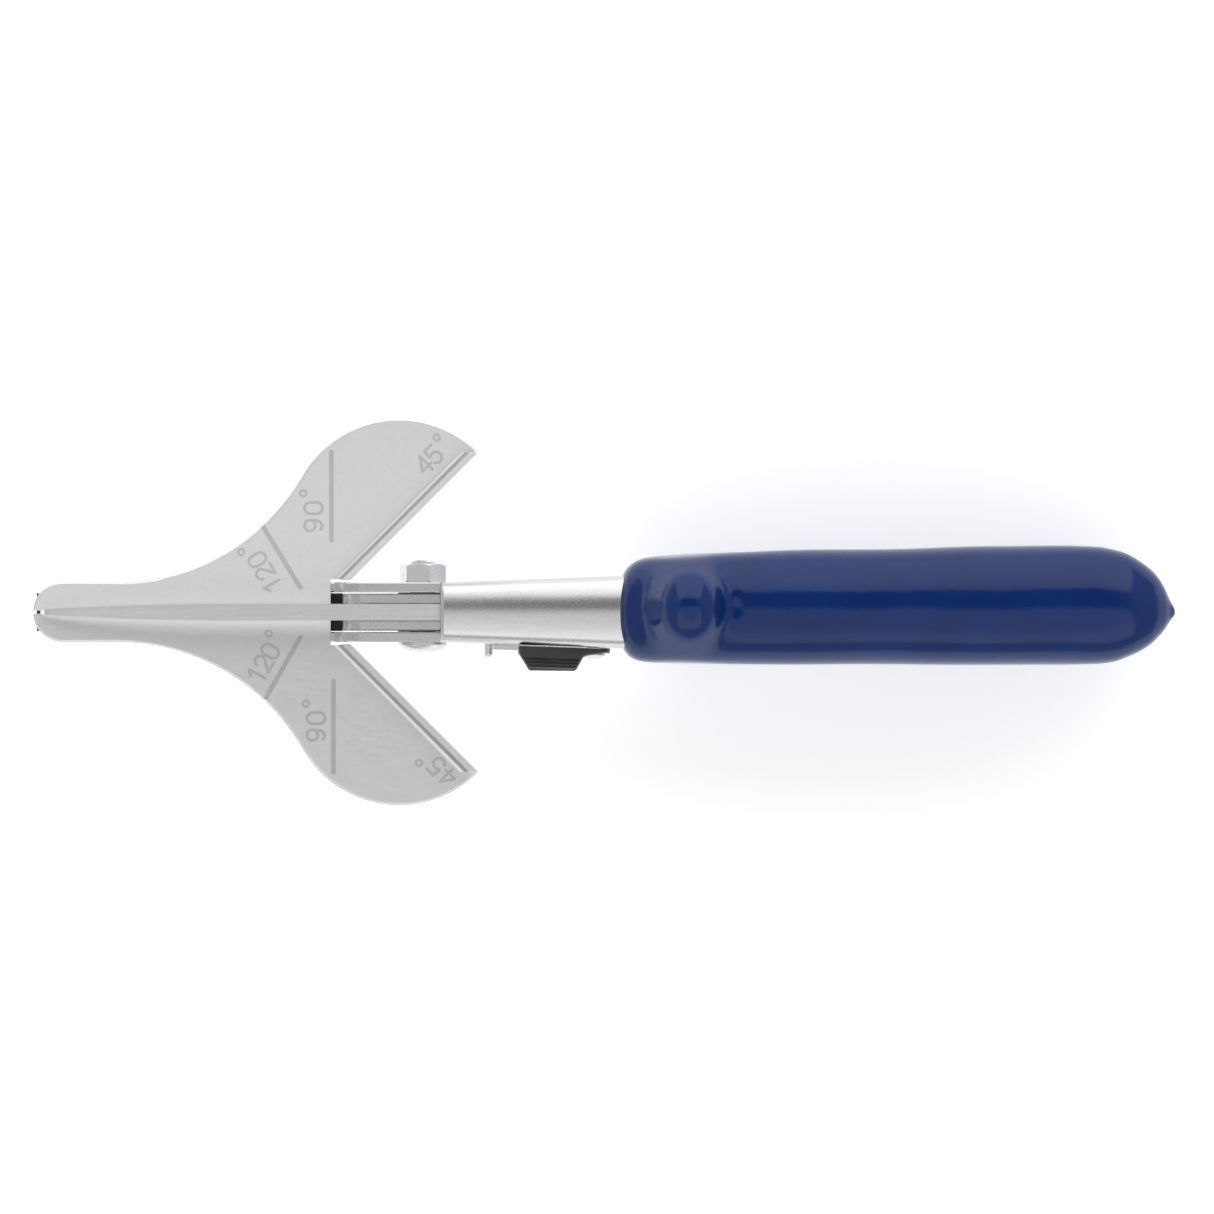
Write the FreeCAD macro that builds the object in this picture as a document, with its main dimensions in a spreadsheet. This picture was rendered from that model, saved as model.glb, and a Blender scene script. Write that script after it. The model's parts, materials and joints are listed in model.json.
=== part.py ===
"""Mitre shears: a V-ground blade that cuts down on a two-winged angle table, with pressed steel handles.

The tool is drawn about its main pivot, with +X from the nose to the handles, +Y to the left wing and
+Z up, and every sub-part is then moved by one placement, so that the origin lies under the middle of
the closed tool, on the surface that it stands on.  All lengths are millimetres.
"""

import FreeCAD, Part
import math
import os
from types import SimpleNamespace

import Sketcher
from FreeCAD import Placement, Rotation, Vector

SIZES = {
    # where the main pivot lies
    "centre_x": 34.7,
    "pivot_rise": 29.0,
    # angle table
    "nose_x": 70.2,
    "nose_radius": 5.85,
    "slot_width": 0.6,
    "plate_thickness": 1.2,
    "table_level": -1.5,
    "table_rise": 2.8,
    "neck_x": 59.7,
    "hollow_radius": 42.0,
    "lobe_x": 4.5,
    "lobe_y": 15.9,
    "notch_x": 18.0,
    "notch_y": 6.4,
    "fence_line": 20.4,
    "fence_tip_x": 10.8,
    "fence_height": 4.2,
    "bend_radius": 1.4,
    "rim_radius": 0.45,
    "mark_depth": 0.12,
    "mark_stroke": 0.55,
    # upper handle: an outer channel of sheet steel
    "upper_sheet": 2.0,
    "ear_outer": 5.85,
    "web_front": 3.5,
    "ear_front": 17.2,
    "ear_top": 5.2,
    "wall_bottom": -5.5,
    "rail_front": 68.0,
    "rail_top": -2.56,
    # lower handle: an inner channel
    "lower_sheet": 1.8,
    "lower_outer": 3.4,
    "lower_front": 15.2,
    # main pivot
    "bolt_radius": 2.5,
    "bore_radius": 2.55,
    "head_radius": 4.75,
    "head_height": 1.85,
    "nut_flats": 8.0,
    "nut_height": 3.6,
    "bolt_end": 10.1,
    # blade
    "blade_thickness": 3.2,
    "bevel_height": 9.0,
    "edge_level": -2.6,
    # anvil
    "anvil_width": 7.4,
    "anvil_height": 3.6,
    "anvil_front": 75.4,
    "anvil_rear": 22.0,
    "heel_rear": 15.8,
    "heel_top": -5.1,
    "dowel_radius": 1.25,
    # lock
    "lock_x": 33.2,
    "lock_z": 6.0,
    "lock_swing": 8.0,
    "catch_x": 12.7,
    "catch_z": -7.2,
    "catch_radius": 0.9,
    "catch_reach": 8.8,
    "lock_sheet": 1.0,
    "rivet_radius": 1.2,
    # opening spring
    "spring_x": 30.0,
    "spring_radius": 2.75,
    "spring_wire": 0.9,
    "spring_half": 10.2,
    "spring_turns": 7.0,
    # grips
    "channel_end": 134.0,
    "grip_front": 38.4,
    "grip_end": 145.4,
    "horn_x": 51.7,
    "horn_radius": 5.6,
}

doc = FreeCAD.newDocument("MitreShears")
sheet = doc.addObject("Spreadsheet::Sheet", "Sizes")


class Size:
    """A number of the design, with the formula that binds it to its cells of the sheet."""

    def __init__(self, value, formula):
        self.value = float(value)
        self.formula = formula

    def __float__(self):
        return self.value

    def __neg__(self):
        return Size(-self.value, f"(-{self.formula})")

    def __add__(self, other):
        other = size(other)
        return Size(self.value + other.value, f"({self.formula} + {other.formula})")

    def __sub__(self, other):
        return self + (-size(other))

    def __rsub__(self, other):
        return size(other) + (-self)

    def __mul__(self, factor):
        return Size(self.value * factor, f"({self.formula} * {factor})")

    __radd__ = __add__
    __rmul__ = __mul__


def size(number):
    return number if isinstance(number, Size) else Size(number, f"({float(number)})")


def fill_sheet():
    """Puts each size in a row of its own and gives its cell the size's name."""
    for row, (name, value) in enumerate(SIZES.items(), start=1):
        sheet.set(f"A{row}", name)
        sheet.set(f"B{row}", str(value))
        sheet.setAlias(f"B{row}", name)
    doc.recompute()
    return SimpleNamespace(**{name: Size(value, f"Sizes.{name}") for name, value in SIZES.items()})


k = fill_sheet()
val = SimpleNamespace(**SIZES)
NODES = []


# --- drawing helpers ---------------------------------------------------------------------------


class Via:
    """A point that the arc between its two neighbours passes through."""

    def __init__(self, x, y):
        self.point = (x, y)


def flat(point):
    return Vector(float(point[0]), float(point[1]), 0)


def round_arc(start, via, end):
    """The arc from start to end through via, and whether it runs clockwise."""
    centre = Part.Circle(start, via, end).Center
    turn = (via - start).cross(end - via).z
    first, last = (start, end) if turn > 0 else (end, start)
    angles = [math.atan2(p.y - centre.y, p.x - centre.x) for p in (first, last)]
    circle = Part.Circle(centre, Vector(0, 0, 1), (start - centre).Length)
    return Part.ArcOfCircle(circle, *angles), turn < 0


def pin_point(sketch, index, place, point):
    """Holds one sketch point at the two sizes in point."""
    for kind, number in zip(("DistanceX", "DistanceY"), point):
        number = size(number)
        row = sketch.addConstraint(Sketcher.Constraint(kind, -1, 1, index, place, number.value))
        if "Sizes." in number.formula:
            sketch.setExpression(f"Constraints[{row}]", number.formula)


def origin_plane(body, role):
    return next(o for o in body.Origin.OriginFeatures if o.Role == role)


def new_sketch(body, role, offset=0.0):
    """An empty sketch on one of the body's origin planes, offset along the plane's normal."""
    sketch = body.newObject("Sketcher::SketchObject", f"{body.Name}_sketch")
    sketch.AttachmentSupport = (origin_plane(body, role), [""])
    sketch.MapMode = "FlatFace"
    sketch.AttachmentOffset = Placement(Vector(0, 0, float(offset)), Rotation())
    if isinstance(offset, Size):
        sketch.setExpression("AttachmentOffset.Base.z", offset.formula)
    return sketch


def outline(body, role, path, offset=0.0):
    """A closed sketch through the corners of path, straight or along an arc where a Via stands between."""
    sketch = new_sketch(body, role, offset)
    corners = [p for p in path if not isinstance(p, Via)]
    ends = []
    for i, corner in enumerate(corners):
        after = corners[(i + 1) % len(corners)]
        follower = path[(path.index(corner) + 1) % len(path)]
        if isinstance(follower, Via):
            arc, backwards = round_arc(flat(corner), flat(follower.point), flat(after))
            index = sketch.addGeometry(arc, False)
            ends.append((index, 2, 1) if backwards else (index, 1, 2))
            mark = sketch.addGeometry(Part.Point(flat(follower.point)), True)
            pin_point(sketch, mark, 1, follower.point)
            sketch.addConstraint(Sketcher.Constraint("PointOnObject", mark, 1, index))
        else:
            index = sketch.addGeometry(Part.LineSegment(flat(corner), flat(after)), False)
            ends.append((index, 1, 2))
    for i, corner in enumerate(corners):
        index, start, _ = ends[i]
        before, _, finish = ends[i - 1]
        sketch.addConstraint(Sketcher.Constraint("Coincident", before, finish, index, start))
        pin_point(sketch, index, start, corner)
    return sketch


def circles(body, role, spots, radius, offset=0.0):
    """A sketch of equal circles at the given spots."""
    sketch = new_sketch(body, role, offset)
    radius = size(radius)
    for spot in spots:
        index = sketch.addGeometry(Part.Circle(flat(spot), Vector(0, 0, 1), radius.value), False)
        pin_point(sketch, index, 3, spot)
        row = sketch.addConstraint(Sketcher.Constraint("Radius", index, radius.value))
        if "Sizes." in radius.formula:
            sketch.setExpression(f"Constraints[{row}]", radius.formula)
    return sketch


def feature(body, kind, sketch, length=None, **settings):
    """A PartDesign feature on a sketch, with its length bound to the sheet."""
    made = body.newObject(f"PartDesign::{kind}", f"{body.Name}_{kind}")
    made.Profile = sketch
    sketch.Visibility = False
    if length is not None:
        length = size(length)
        made.Length = length.value
        made.setExpression("Length", length.formula)
    for name, value in settings.items():
        setattr(made, name, value)
    return made


def both_sides(body, kind, sketch, length):
    return feature(body, kind, sketch, length, SideType="Symmetric")


def drill(body, role, spots, radius):
    """Round holes right through the body, both ways from the plane."""
    holes = circles(body, role, spots, radius)
    return feature(body, "Pocket", holes, Type="ThroughAll", SideType="Symmetric")


def edges_where(shape, test):
    """Names of the edges whose middle point passes the test."""
    names = []
    for number, edge in enumerate(shape.Edges, start=1):
        if test(edge.valueAt((edge.FirstParameter + edge.LastParameter) / 2), edge):
            names.append(f"Edge{number}")
    return names


def round_edges(body, base, test, radius, kind="Fillet"):
    """A fillet or chamfer along every edge of base that passes the test."""
    doc.recompute()
    names = edges_where(base.Shape, test)
    if not names:
        raise RuntimeError(f"{body.Name}: no edge to round")
    made = body.newObject(f"PartDesign::{kind}", f"{body.Name}_{kind}")
    made.Base = (base, names)
    prop = "Radius" if kind == "Fillet" else "Size"
    radius = size(radius)
    setattr(made, prop, radius.value)
    if "Sizes." in radius.formula:
        made.setExpression(prop, radius.formula)
    return made


def new_body(name):
    return doc.addObject("PartDesign::Body", name)


def boolean(kind, name, base, *tools):
    """Part::Cut or Part::Common of two objects, or Part::MultiFuse of several."""
    made = doc.addObject(f"Part::{kind}", name)
    if kind in ("MultiFuse", "Compound"):
        setattr(made, "Shapes" if kind == "MultiFuse" else "Links", [base, *tools])
    else:
        made.Base = base
        made.Tool = tools[0]
    return made


def cylinder(name, start, direction, radius, length):
    """A Part::Cylinder from start along direction, bound to the sheet where its sizes are."""
    made = doc.addObject("Part::Cylinder", name)
    for prop, number in (("Radius", size(radius)), ("Height", size(length))):
        setattr(made, prop, number.value)
        made.setExpression(prop, number.formula)
    turn = Rotation(Vector(0, 0, 1), Vector(*direction))
    made.Placement = Placement(Vector(*[float(n) for n in start]), turn)
    return made


def keep(obj, label, rotation=None, anchor=(0, 0, 0)):
    """Makes obj a sub-part: its label names its file, and its placement moves it to the tool's origin.

    rotation turns it about anchor, in the pivot's coordinates, first."""
    obj.Label = label
    own = obj.Placement
    turn = rotation or Rotation()
    at = Vector(*anchor)
    turned = Placement(at - turn.multVec(at), turn).multiply(own)
    moved = turned.Base + Vector(-val.centre_x, 0, val.pivot_rise)
    obj.Placement = Placement(moved, turned.Rotation)
    obj.setExpression("Placement.Base.x", f"{turned.Base.x} - Sizes.centre_x")
    obj.setExpression("Placement.Base.z", f"{turned.Base.z} + Sizes.pivot_rise")
    NODES.append(obj)
    return obj


# --- the angle table: two mirrored wings of sheet steel ----------------------------------------

TAN_RISE = math.tan(math.radians(val.table_rise))


def wing_path(side):
    """The wing's outline: along the slot's edge, round the nose, out along a hollow and a round lobe to
    the tip, back along the 45 degree fence and round the notch that clears the handle's ears."""
    edge = k.slot_width * 0.5
    start_x = -math.sqrt(val.nose_radius**2 - (val.slot_width / 2) ** 2)
    diagonal = math.sqrt(0.5)
    lobe_radius = 21.8
    hollow = (-val.neck_x, val.nose_radius + val.hollow_radius)
    lobe = (-val.lobe_x, val.lobe_y)
    gap = math.dist(hollow, lobe)
    inward = ((lobe[0] - hollow[0]) / gap, (lobe[1] - hollow[1]) / gap)
    joint = (hollow[0] + inward[0] * val.hollow_radius, hollow[1] + inward[1] * val.hollow_radius)
    mid_hollow = math.atan2(inward[1], inward[0]) / 2 - math.pi / 4
    tip_y = val.fence_tip_x + val.fence_line
    path = [
        (k.nose_x * -1 + start_x, edge),
        Via(k.nose_x * -1 - k.nose_radius * diagonal, k.nose_radius * diagonal),
        (-k.nose_x, k.nose_radius),
        (-k.neck_x, k.nose_radius),
        Via(
            hollow[0] + val.hollow_radius * math.cos(mid_hollow),
            hollow[1] + val.hollow_radius * math.sin(mid_hollow),
        ),
        joint,
        Via(lobe[0] - lobe_radius * 0.2, lobe[1] + lobe_radius * math.sqrt(1 - 0.2**2)),
        (k.fence_tip_x, tip_y),
        (k.notch_y - k.fence_line, k.notch_y),
        (-k.notch_x, k.notch_y),
        (-k.notch_x, edge),
    ]
    return [mirrored(p, side) for p in path]


def mirrored(point, side):
    """The same point on the left wing (side 1) or the right wing (side -1)."""
    x, y = point.point if isinstance(point, Via) else point
    y = y if side > 0 else -size(y)
    return Via(x, y) if isinstance(point, Via) else (x, y)


def fence_path(side):
    """The footprint of the fence and of its bend, along the wing's rear edge."""
    band = (k.plate_thickness + k.bend_radius) * math.sqrt(2)
    low = k.notch_y - k.fence_line
    tip_y = val.fence_tip_x + val.fence_line
    path = [
        (k.fence_tip_x, tip_y),
        (k.fence_tip_x - band, tip_y),
        (low - band, k.notch_y),
        (low, k.notch_y),
    ]
    return [mirrored(p, side) for p in path]


def fence_shape(side):
    """The rear edge of the wing, bent up into a fence: its bent profile swept along the 45 degree edge and
    ended square to the handles."""
    thick, bend, tall = val.plate_thickness, val.bend_radius, val.fence_height
    inside = thick + bend
    slant = inside * (1 - math.sqrt(0.5))
    slant_in = inside - bend * math.sqrt(0.5)
    outward = Vector(1, -side, 0).normalize()
    start = Vector(val.notch_y - val.fence_line, side * val.notch_y, 0)
    along = Vector(1, side, 0).normalize()

    def spot(depth, height):
        """A point of the profile, depth in from the outer face."""
        return start - outward * depth + Vector(0, 0, height) - along * 8.0

    edges = [
        Part.LineSegment(spot(0, inside - thick), spot(0, tall)).toShape(),
        Part.LineSegment(spot(0, tall), spot(thick, tall)).toShape(),
        Part.LineSegment(spot(thick, tall), spot(thick, bend)).toShape(),
        Part.Arc(spot(thick, bend), spot(slant_in, bend * (1 - math.sqrt(0.5))), spot(inside, 0)).toShape(),
        Part.LineSegment(spot(inside, 0), spot(inside, -thick)).toShape(),
        Part.Arc(spot(inside, -thick), spot(slant, slant - thick), spot(0, inside - thick)).toShape(),
    ]
    long = Part.Face(Part.Wire(edges)).extrude(along * 60.0)
    tip_y = val.fence_tip_x + val.fence_line
    low_y = val.notch_y if side > 0 else -tip_y
    slab = Part.makeBox(80.0, tip_y - val.notch_y, 20.0, Vector(-40.0, low_y, -10.0))
    return long.common(slab)


def groove(edges, depth):
    """A cutting tool from a closed line of edges, reaching one depth below the plate's face."""
    return Part.Face(Part.Wire(edges)).extrude(Vector(0, 0, 2 * depth))


def stroke_line(a, b, width, depth):
    """A round-ended straight groove tool from a to b."""
    a, b = Vector(*a, -depth), Vector(*b, -depth)
    along = (b - a).normalize() * (width / 2)
    across = Vector(-along.y, along.x, 0)
    edges = [
        Part.LineSegment(a + across, b + across).toShape(),
        Part.Arc(b + across, b + along, b - across).toShape(),
        Part.LineSegment(b - across, a - across).toShape(),
        Part.Arc(a - across, a - along, a + across).toShape(),
    ]
    return [groove(edges, depth)]


def stroke_arc(centre, radius, first, last, width, depth):
    """A round-ended groove tool along an arc, with its two angles in degrees."""
    low = Vector(*centre, -depth)

    def spot(reach, angle):
        return low + Vector(*around(reach, angle), 0)

    near, far = radius - width / 2, radius + width / 2
    middle = (first + last) / 2
    tilt = math.degrees(width / 2 / radius)
    edges = [
        Part.Arc(spot(far, first), spot(far, middle), spot(far, last)).toShape(),
        Part.Arc(spot(far, last), spot(radius, last + tilt), spot(near, last)).toShape(),
        Part.Arc(spot(near, last), spot(near, middle), spot(near, first)).toShape(),
        Part.Arc(spot(near, first), spot(radius, first - tilt), spot(far, first)).toShape(),
    ]
    return [groove(edges, depth)]


def stroke_ring(centre, radius, width, depth):
    """A closed round groove tool."""
    low = Vector(*centre, -depth)
    outer = Part.makeCylinder(radius + width / 2, 2 * depth, low)
    return [outer.cut(Part.makeCylinder(radius - width / 2, 2 * depth, low))]


def around(radius, angle):
    return (radius * math.cos(math.radians(angle)), radius * math.sin(math.radians(angle)))


def glyph(sign, width, depth):
    """The groove tools of one figure, 2.2 wide and 3.5 tall along its strokes, about its own middle."""

    def line(a, b):
        return stroke_line(a, b, width, depth)

    def arc(centre, radius, first, last):
        return stroke_arc(centre, radius, first, last, width, depth)

    half, tall = 1.1, 1.75
    if sign == "0":
        upper, lower = (0, tall - half), (0, half - tall)
        sides = line((-half, lower[1]), (-half, upper[1])) + line((half, lower[1]), (half, upper[1]))
        return arc(upper, half, 0, 180) + arc(lower, half, 180, 360) + sides
    if sign == "1":
        return line((0.2, -tall), (0.2, tall)) + line((0.2, tall), (-0.8, 0.9))
    if sign == "2":
        foot = (-half, -tall)
        return arc((0, 0.75), 1.0, -30, 170) + line((0.87, 0.25), foot) + line(foot, (half, -tall))
    if sign == "4":
        knee = (-1.2, -0.7)
        return line((0.5, -tall), (0.5, tall)) + line((0.5, tall), knee) + line(knee, (1.2, -0.7))
    if sign == "5":
        top = (-0.8, tall)
        return line(top, (1.0, tall)) + line(top, (-0.95, 0.2)) + arc((0, -0.65), 1.1, -150, 130)
    if sign == "9":
        ring = stroke_ring((0, 0.7), 1.05, width, depth)
        return ring + line((1.05, 0.7), (0.95, -0.6)) + arc((-0.1, -0.6), 1.05, -130, 0)
    return stroke_ring((0, 0), 0.6, width * 0.8, depth)


def mark_tools(text, spot, angle, pitch, width, depth):
    """Figures written from spot along angle, with a degree ring after and above the last of them."""
    tools = []
    places = [(sign, i * pitch, 0) for i, sign in enumerate(text)]
    places.append(("o", (len(text) - 1) * pitch + 2.85, 2.0))
    for sign, along, up in places:
        for tool in glyph(sign, width, depth):
            tool.translate(Vector(along, up, 0))
            tool.rotate(Vector(), Vector(0, 0, 1), angle)
            tool.translate(Vector(*spot, 0))
            tools.append(tool)
    return tools


MARKS = {
    1: {
        "texts": [
            ("90", (-21.3, 16.9), 90, 3.4),
            ("120", (-29.4, 5.3), 120, 2.85),
            ("45", (0.3, 28.8), 45, 2.6),
        ],
        "lines": [((-17.8, 14.0), (-17.8, 31.2)), ((-31.2, 16.8), (-23.9, 4.8))],
    },
    -1: {
        "texts": [
            ("90", (-20.8, -24.0), 90, 3.3),
            ("120", (-32.4, -12.2), 60, 2.65),
            ("45", (4.9, -32.2), 135, 3.1),
        ],
        "lines": [((-17.4, -31.2), (-17.4, -13.4)), ((-30.5, -16.6), (-23.9, -4.9))],
    },
}


def on_rim(point, edge):
    """Is the edge on the free rim of the wing's upper face, away from the slot, the notch and the fence?"""
    if abs(point.z) > 0.01 or abs(point.y) < 3.0 or edge.Length < 5.0 or point.x > 5.0 - val.notch_x:
        return False
    return abs(point.x + val.notch_x) > 0.1 and abs(point.x - abs(point.y) + val.fence_line) > 0.1


def wing(side, label):
    """One half of the table, engraved with its cutting angles and rising a little away from the slot."""
    body = new_body(f"{label}_blank")
    plan = outline(body, "XY_Plane", wing_path(side))
    plate = feature(body, "Pad", plan, k.plate_thickness, Reversed=True)
    round_edges(body, plate, on_rim, k.rim_radius)
    footprint = outline(body, "XY_Plane", fence_path(side))
    feature(body, "Pocket", footprint, Type="ThroughAll", SideType="Symmetric")
    fence = doc.addObject("Part::Feature", f"{label}_fence")
    fence.Shape = fence_shape(side)
    bent = boolean("MultiFuse", f"{label}_bent", body, fence)
    doc.recompute()
    marks = doc.addObject("Part::Feature", f"{label}_marks")
    width, depth = val.mark_stroke, val.mark_depth
    tools = []
    for text, spot, angle, pitch in MARKS[side]["texts"]:
        tools += mark_tools(text, spot, angle, pitch, width, depth)
    for a, b in MARKS[side]["lines"]:
        tools += stroke_line(a, b, 0.9, depth * 1.5)
    marks.Shape = tools[0].multiFuse(tools[1:]).removeSplitter()
    cut = boolean("Cut", label, bent, marks)
    cut.Placement = Placement(Vector(0, 0, val.table_level), Rotation())
    return keep(cut, label, Rotation(Vector(1, 0, 0), side * val.table_rise), (0, 0, val.table_level))


# --- the handles -------------------------------------------------------------------------------

# the upper handle's walls spread apart behind the ears, by this much for each unit of length
FLARE = 0.0338
FLARE_START = 5.0
FLARE_END = 38.0


def crown_path(offset, up):
    """Side view of a handle's channel, shrunk by offset on its crown; up is -1 for the lower handle.

    The crown is one long arc that climbs away from the pivot; the walls' feet rise behind the ears."""
    foot = [
        (val.channel_end, 10.6),
        Via(72.0, 8.8),
        (24.0, 0.7),
        (14.0, val.wall_bottom),
        (val.web_front, val.wall_bottom),
    ]
    crown = [(val.web_front, 8.7 - offset), Via(60.0, 18.8 - offset), (val.channel_end, 22.4 - offset)]
    path = crown + foot
    return [Via(p.point[0], p.point[1] * up) if isinstance(p, Via) else (p[0], p[1] * up) for p in path]


def channel_shell(name, side_view, plan_view, radius):
    """The solid that a side view and a plan view share, with its crown's two long edges rounded."""
    from_side = new_body(f"{name}_side")
    both_sides(from_side, "Pad", outline(from_side, "XZ_Plane", side_view), 16.0)
    from_above = new_body(f"{name}_plan")
    both_sides(from_above, "Pad", outline(from_above, "XY_Plane", plan_view), 60.0)
    common = boolean("Common", f"{name}_common", from_side, from_above)
    doc.recompute()
    names = edges_where(common.Shape, lambda p, e: e.Length > 1.2 and on_crown(p, side_view))
    rounded = doc.addObject("Part::Fillet", f"{name}_rounded")
    rounded.Base = common
    rounded.Edges = [(int(edge[4:]), radius, radius) for edge in names]
    return rounded


def on_crown(point, side_view):
    """Is the point on one of the two long edges where the crown meets the walls?"""
    start, via, end = side_view[0], side_view[1].point, side_view[2]
    circle = Part.Circle(flat(start), flat(via), flat(end))
    away = (Vector(point.x, point.z, 0) - circle.Center).Length - circle.Radius
    return abs(away) < 0.01 and abs(point.y) > 0.5


def ear_path():
    """Side view of the upper handle's ear and of the rail that it carries forward under the table."""
    return [
        (k.web_front, k.ear_top),
        (-9.0, k.ear_top),
        Via(k.ear_front * -1 + 2.2, k.ear_top * 0.62),
        (-k.ear_front, 0.5),
        (-k.ear_front, k.rail_top),
        (-k.rail_front, k.rail_top),
        (-k.rail_front, -6.4),
        (-30.0, -7.6),
        Via(-20.0, -7.0),
        (-12.0, k.wall_bottom),
        (k.web_front, k.wall_bottom),
    ]


def upper_width(x):
    """Half the upper handle's outside width."""
    return val.ear_outer + FLARE * min(max(x - FLARE_START, 0.0), FLARE_END - FLARE_START)


def upper_plan(shrink):
    """Plan view of the upper handle's channel: straight at the ears, then widening to the grip."""
    wide = upper_width(100.0) - shrink
    narrow = val.ear_outer - shrink
    side = [(val.web_front, narrow), (FLARE_START, narrow), (FLARE_END, wide), (val.channel_end, wide)]
    return side + [(x, -y) for x, y in reversed(side)]


def upper_handle():
    outer = channel_shell("UpperOuter", crown_path(0, 1), upper_plan(0), 4.2)
    inner = channel_shell("UpperInner", crown_path(val.upper_sheet, 1), upper_plan(val.upper_sheet), 2.2)
    room = open_foot(inner, "UpperRoom", 1, val.upper_sheet, upper_plan)
    shell = boolean("Cut", "UpperShell", outer, room)
    ears = new_body("UpperEars")
    inside = k.ear_outer - k.upper_sheet
    for start in (inside, -k.ear_outer):
        feature(ears, "Pad", outline(ears, "XZ_Plane", ear_path(), start), k.upper_sheet)
    whole = boolean("MultiFuse", "UpperWhole", shell, ears)
    holes = [cylinder("UpperBore", (0, -10, 0), (0, 1, 0), k.bore_radius, 20), lock_bore()]
    for number, (x, z) in enumerate(DOWELS):
        holes.append(cylinder(f"RailBore{number}", (x, -10, z), (0, 1, 0), k.dowel_radius, 20))
    tools = boolean("MultiFuse", "UpperHoles", *holes)
    return keep(boolean("Cut", "UpperHandle", whole, tools), "upper_handle_channel")


def open_foot(inner, name, up, shrink, plan):
    """The channel's room, run on past the walls' feet so that the channel is open there."""
    body = new_body(name)
    path = [
        (val.web_front - 2.0, 0.0), (26.0, 0.0), (val.channel_end + 2.0, 10.0),
        (val.channel_end + 2.0, -20.0), (val.web_front - 2.0, -20.0),
    ]
    both_sides(body, "Pad", outline(body, "XZ_Plane", [(x, z * up) for x, z in path]), 16.0)
    over = new_body(f"{name}Plan")
    both_sides(over, "Pad", outline(over, "XY_Plane", plan(shrink)), 60.0)
    return boolean("MultiFuse", f"{name}Fused", inner, boolean("Common", f"{name}Common", body, over))


def lower_ear_path():
    """Side view of the lower handle's cheek beside the blade."""
    front = -val.lower_front
    return [
        (k.web_front, 5.0),
        (-10.0, 5.0),
        Via(front + 1.4, 3.2),
        (front, -1.0),
        Via(front + 3.3, -6.0),
        (-8.0, -8.0),
        (k.web_front, -8.0),
    ]


def lower_plan(shrink):
    """Plan view of the lower handle's channel: narrow between the ears and wide behind them."""
    narrow, wide = val.lower_outer - shrink, 6.9 - shrink
    side = [(val.web_front, narrow), (17.0, narrow), (32.0, wide), (val.channel_end, wide)]
    return side + [(x, -y) for x, y in reversed(side)]


def lower_side(offset):
    """Side view of the lower handle's channel: the upper one's mirror image, with its walls kept under
    the upper handle's feet, and up between the ears at the front."""
    walls = [(val.channel_end, -10.0), Via(72.0, -8.2), (20.5, -2.2), (12.0, 5.0), (val.web_front, 5.0)]
    return crown_path(offset, -1)[:3] + walls


def lower_handle():
    outer = channel_shell("LowerOuter", lower_side(0), lower_plan(0), 2.6)
    inner = channel_shell("LowerInner", lower_side(val.lower_sheet), lower_plan(val.lower_sheet), 0.8)
    room = open_foot(inner, "LowerRoom", -1, val.lower_sheet, lower_plan)
    shell = boolean("Cut", "LowerShell", outer, room)
    cheeks = new_body("LowerCheeks")
    for start in (k.lower_outer - k.lower_sheet, -k.lower_outer):
        feature(cheeks, "Pad", outline(cheeks, "XZ_Plane", lower_ear_path(), start), k.lower_sheet)
    whole = boolean("MultiFuse", "LowerWhole", shell, cheeks)
    holes = [
        cylinder("LowerBore", (0, -10, 0), (0, 1, 0), k.bore_radius, 20),
        cylinder("CatchBore", (val.catch_x, -10, val.catch_z), (0, 1, 0), k.catch_radius, 20),
    ]
    for number, (x, z) in enumerate(RIVET_SPOTS):
        holes.append(cylinder(f"CheekBore{number}", (x, -10, z), (0, 1, 0), 1.5, 20))
    tools = boolean("MultiFuse", "LowerHoles", *holes)
    return keep(boolean("Cut", "LowerHandle", whole, tools), "lower_handle_channel")


RIVET_SPOTS = [(-9.5, -1.5), (8.2, -1.0)]

# --- the lock ----------------------------------------------------------------------------------

WALL_ANGLE = math.degrees(math.atan(FLARE))
LOCK_SPOT = (val.lock_x, -upper_width(val.lock_x), val.lock_z)
LOCK_TURN = Rotation(Vector(0, 0, 1), -WALL_ANGLE)


def lock_frame(obj):
    """Places an object drawn about the lock's rivet, with -Y out of the wall, on the tapered wall."""
    obj.Placement = Placement(Vector(*LOCK_SPOT), LOCK_TURN)
    return obj


def lock_bore():
    """The hole for the lock's rivet, square to the wall."""
    hole = cylinder("LockBore", (0, 0, 0), (0, 1, 0), k.rivet_radius, 8.0)
    shift = Vector(*LOCK_SPOT) - LOCK_TURN.multVec(Vector(0, 4, 0))
    hole.Placement = Placement(shift, LOCK_TURN.multiply(Rotation(Vector(0, 0, 1), Vector(0, 1, 0))))
    return hole


def catch_polar():
    """Distance and direction of the catch pin from the lock's rivet, in the side view."""
    dx, dz = val.catch_x - val.lock_x, val.catch_z - val.lock_z
    return math.hypot(dx, dz), math.degrees(math.atan2(dz, dx)) % 360


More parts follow.
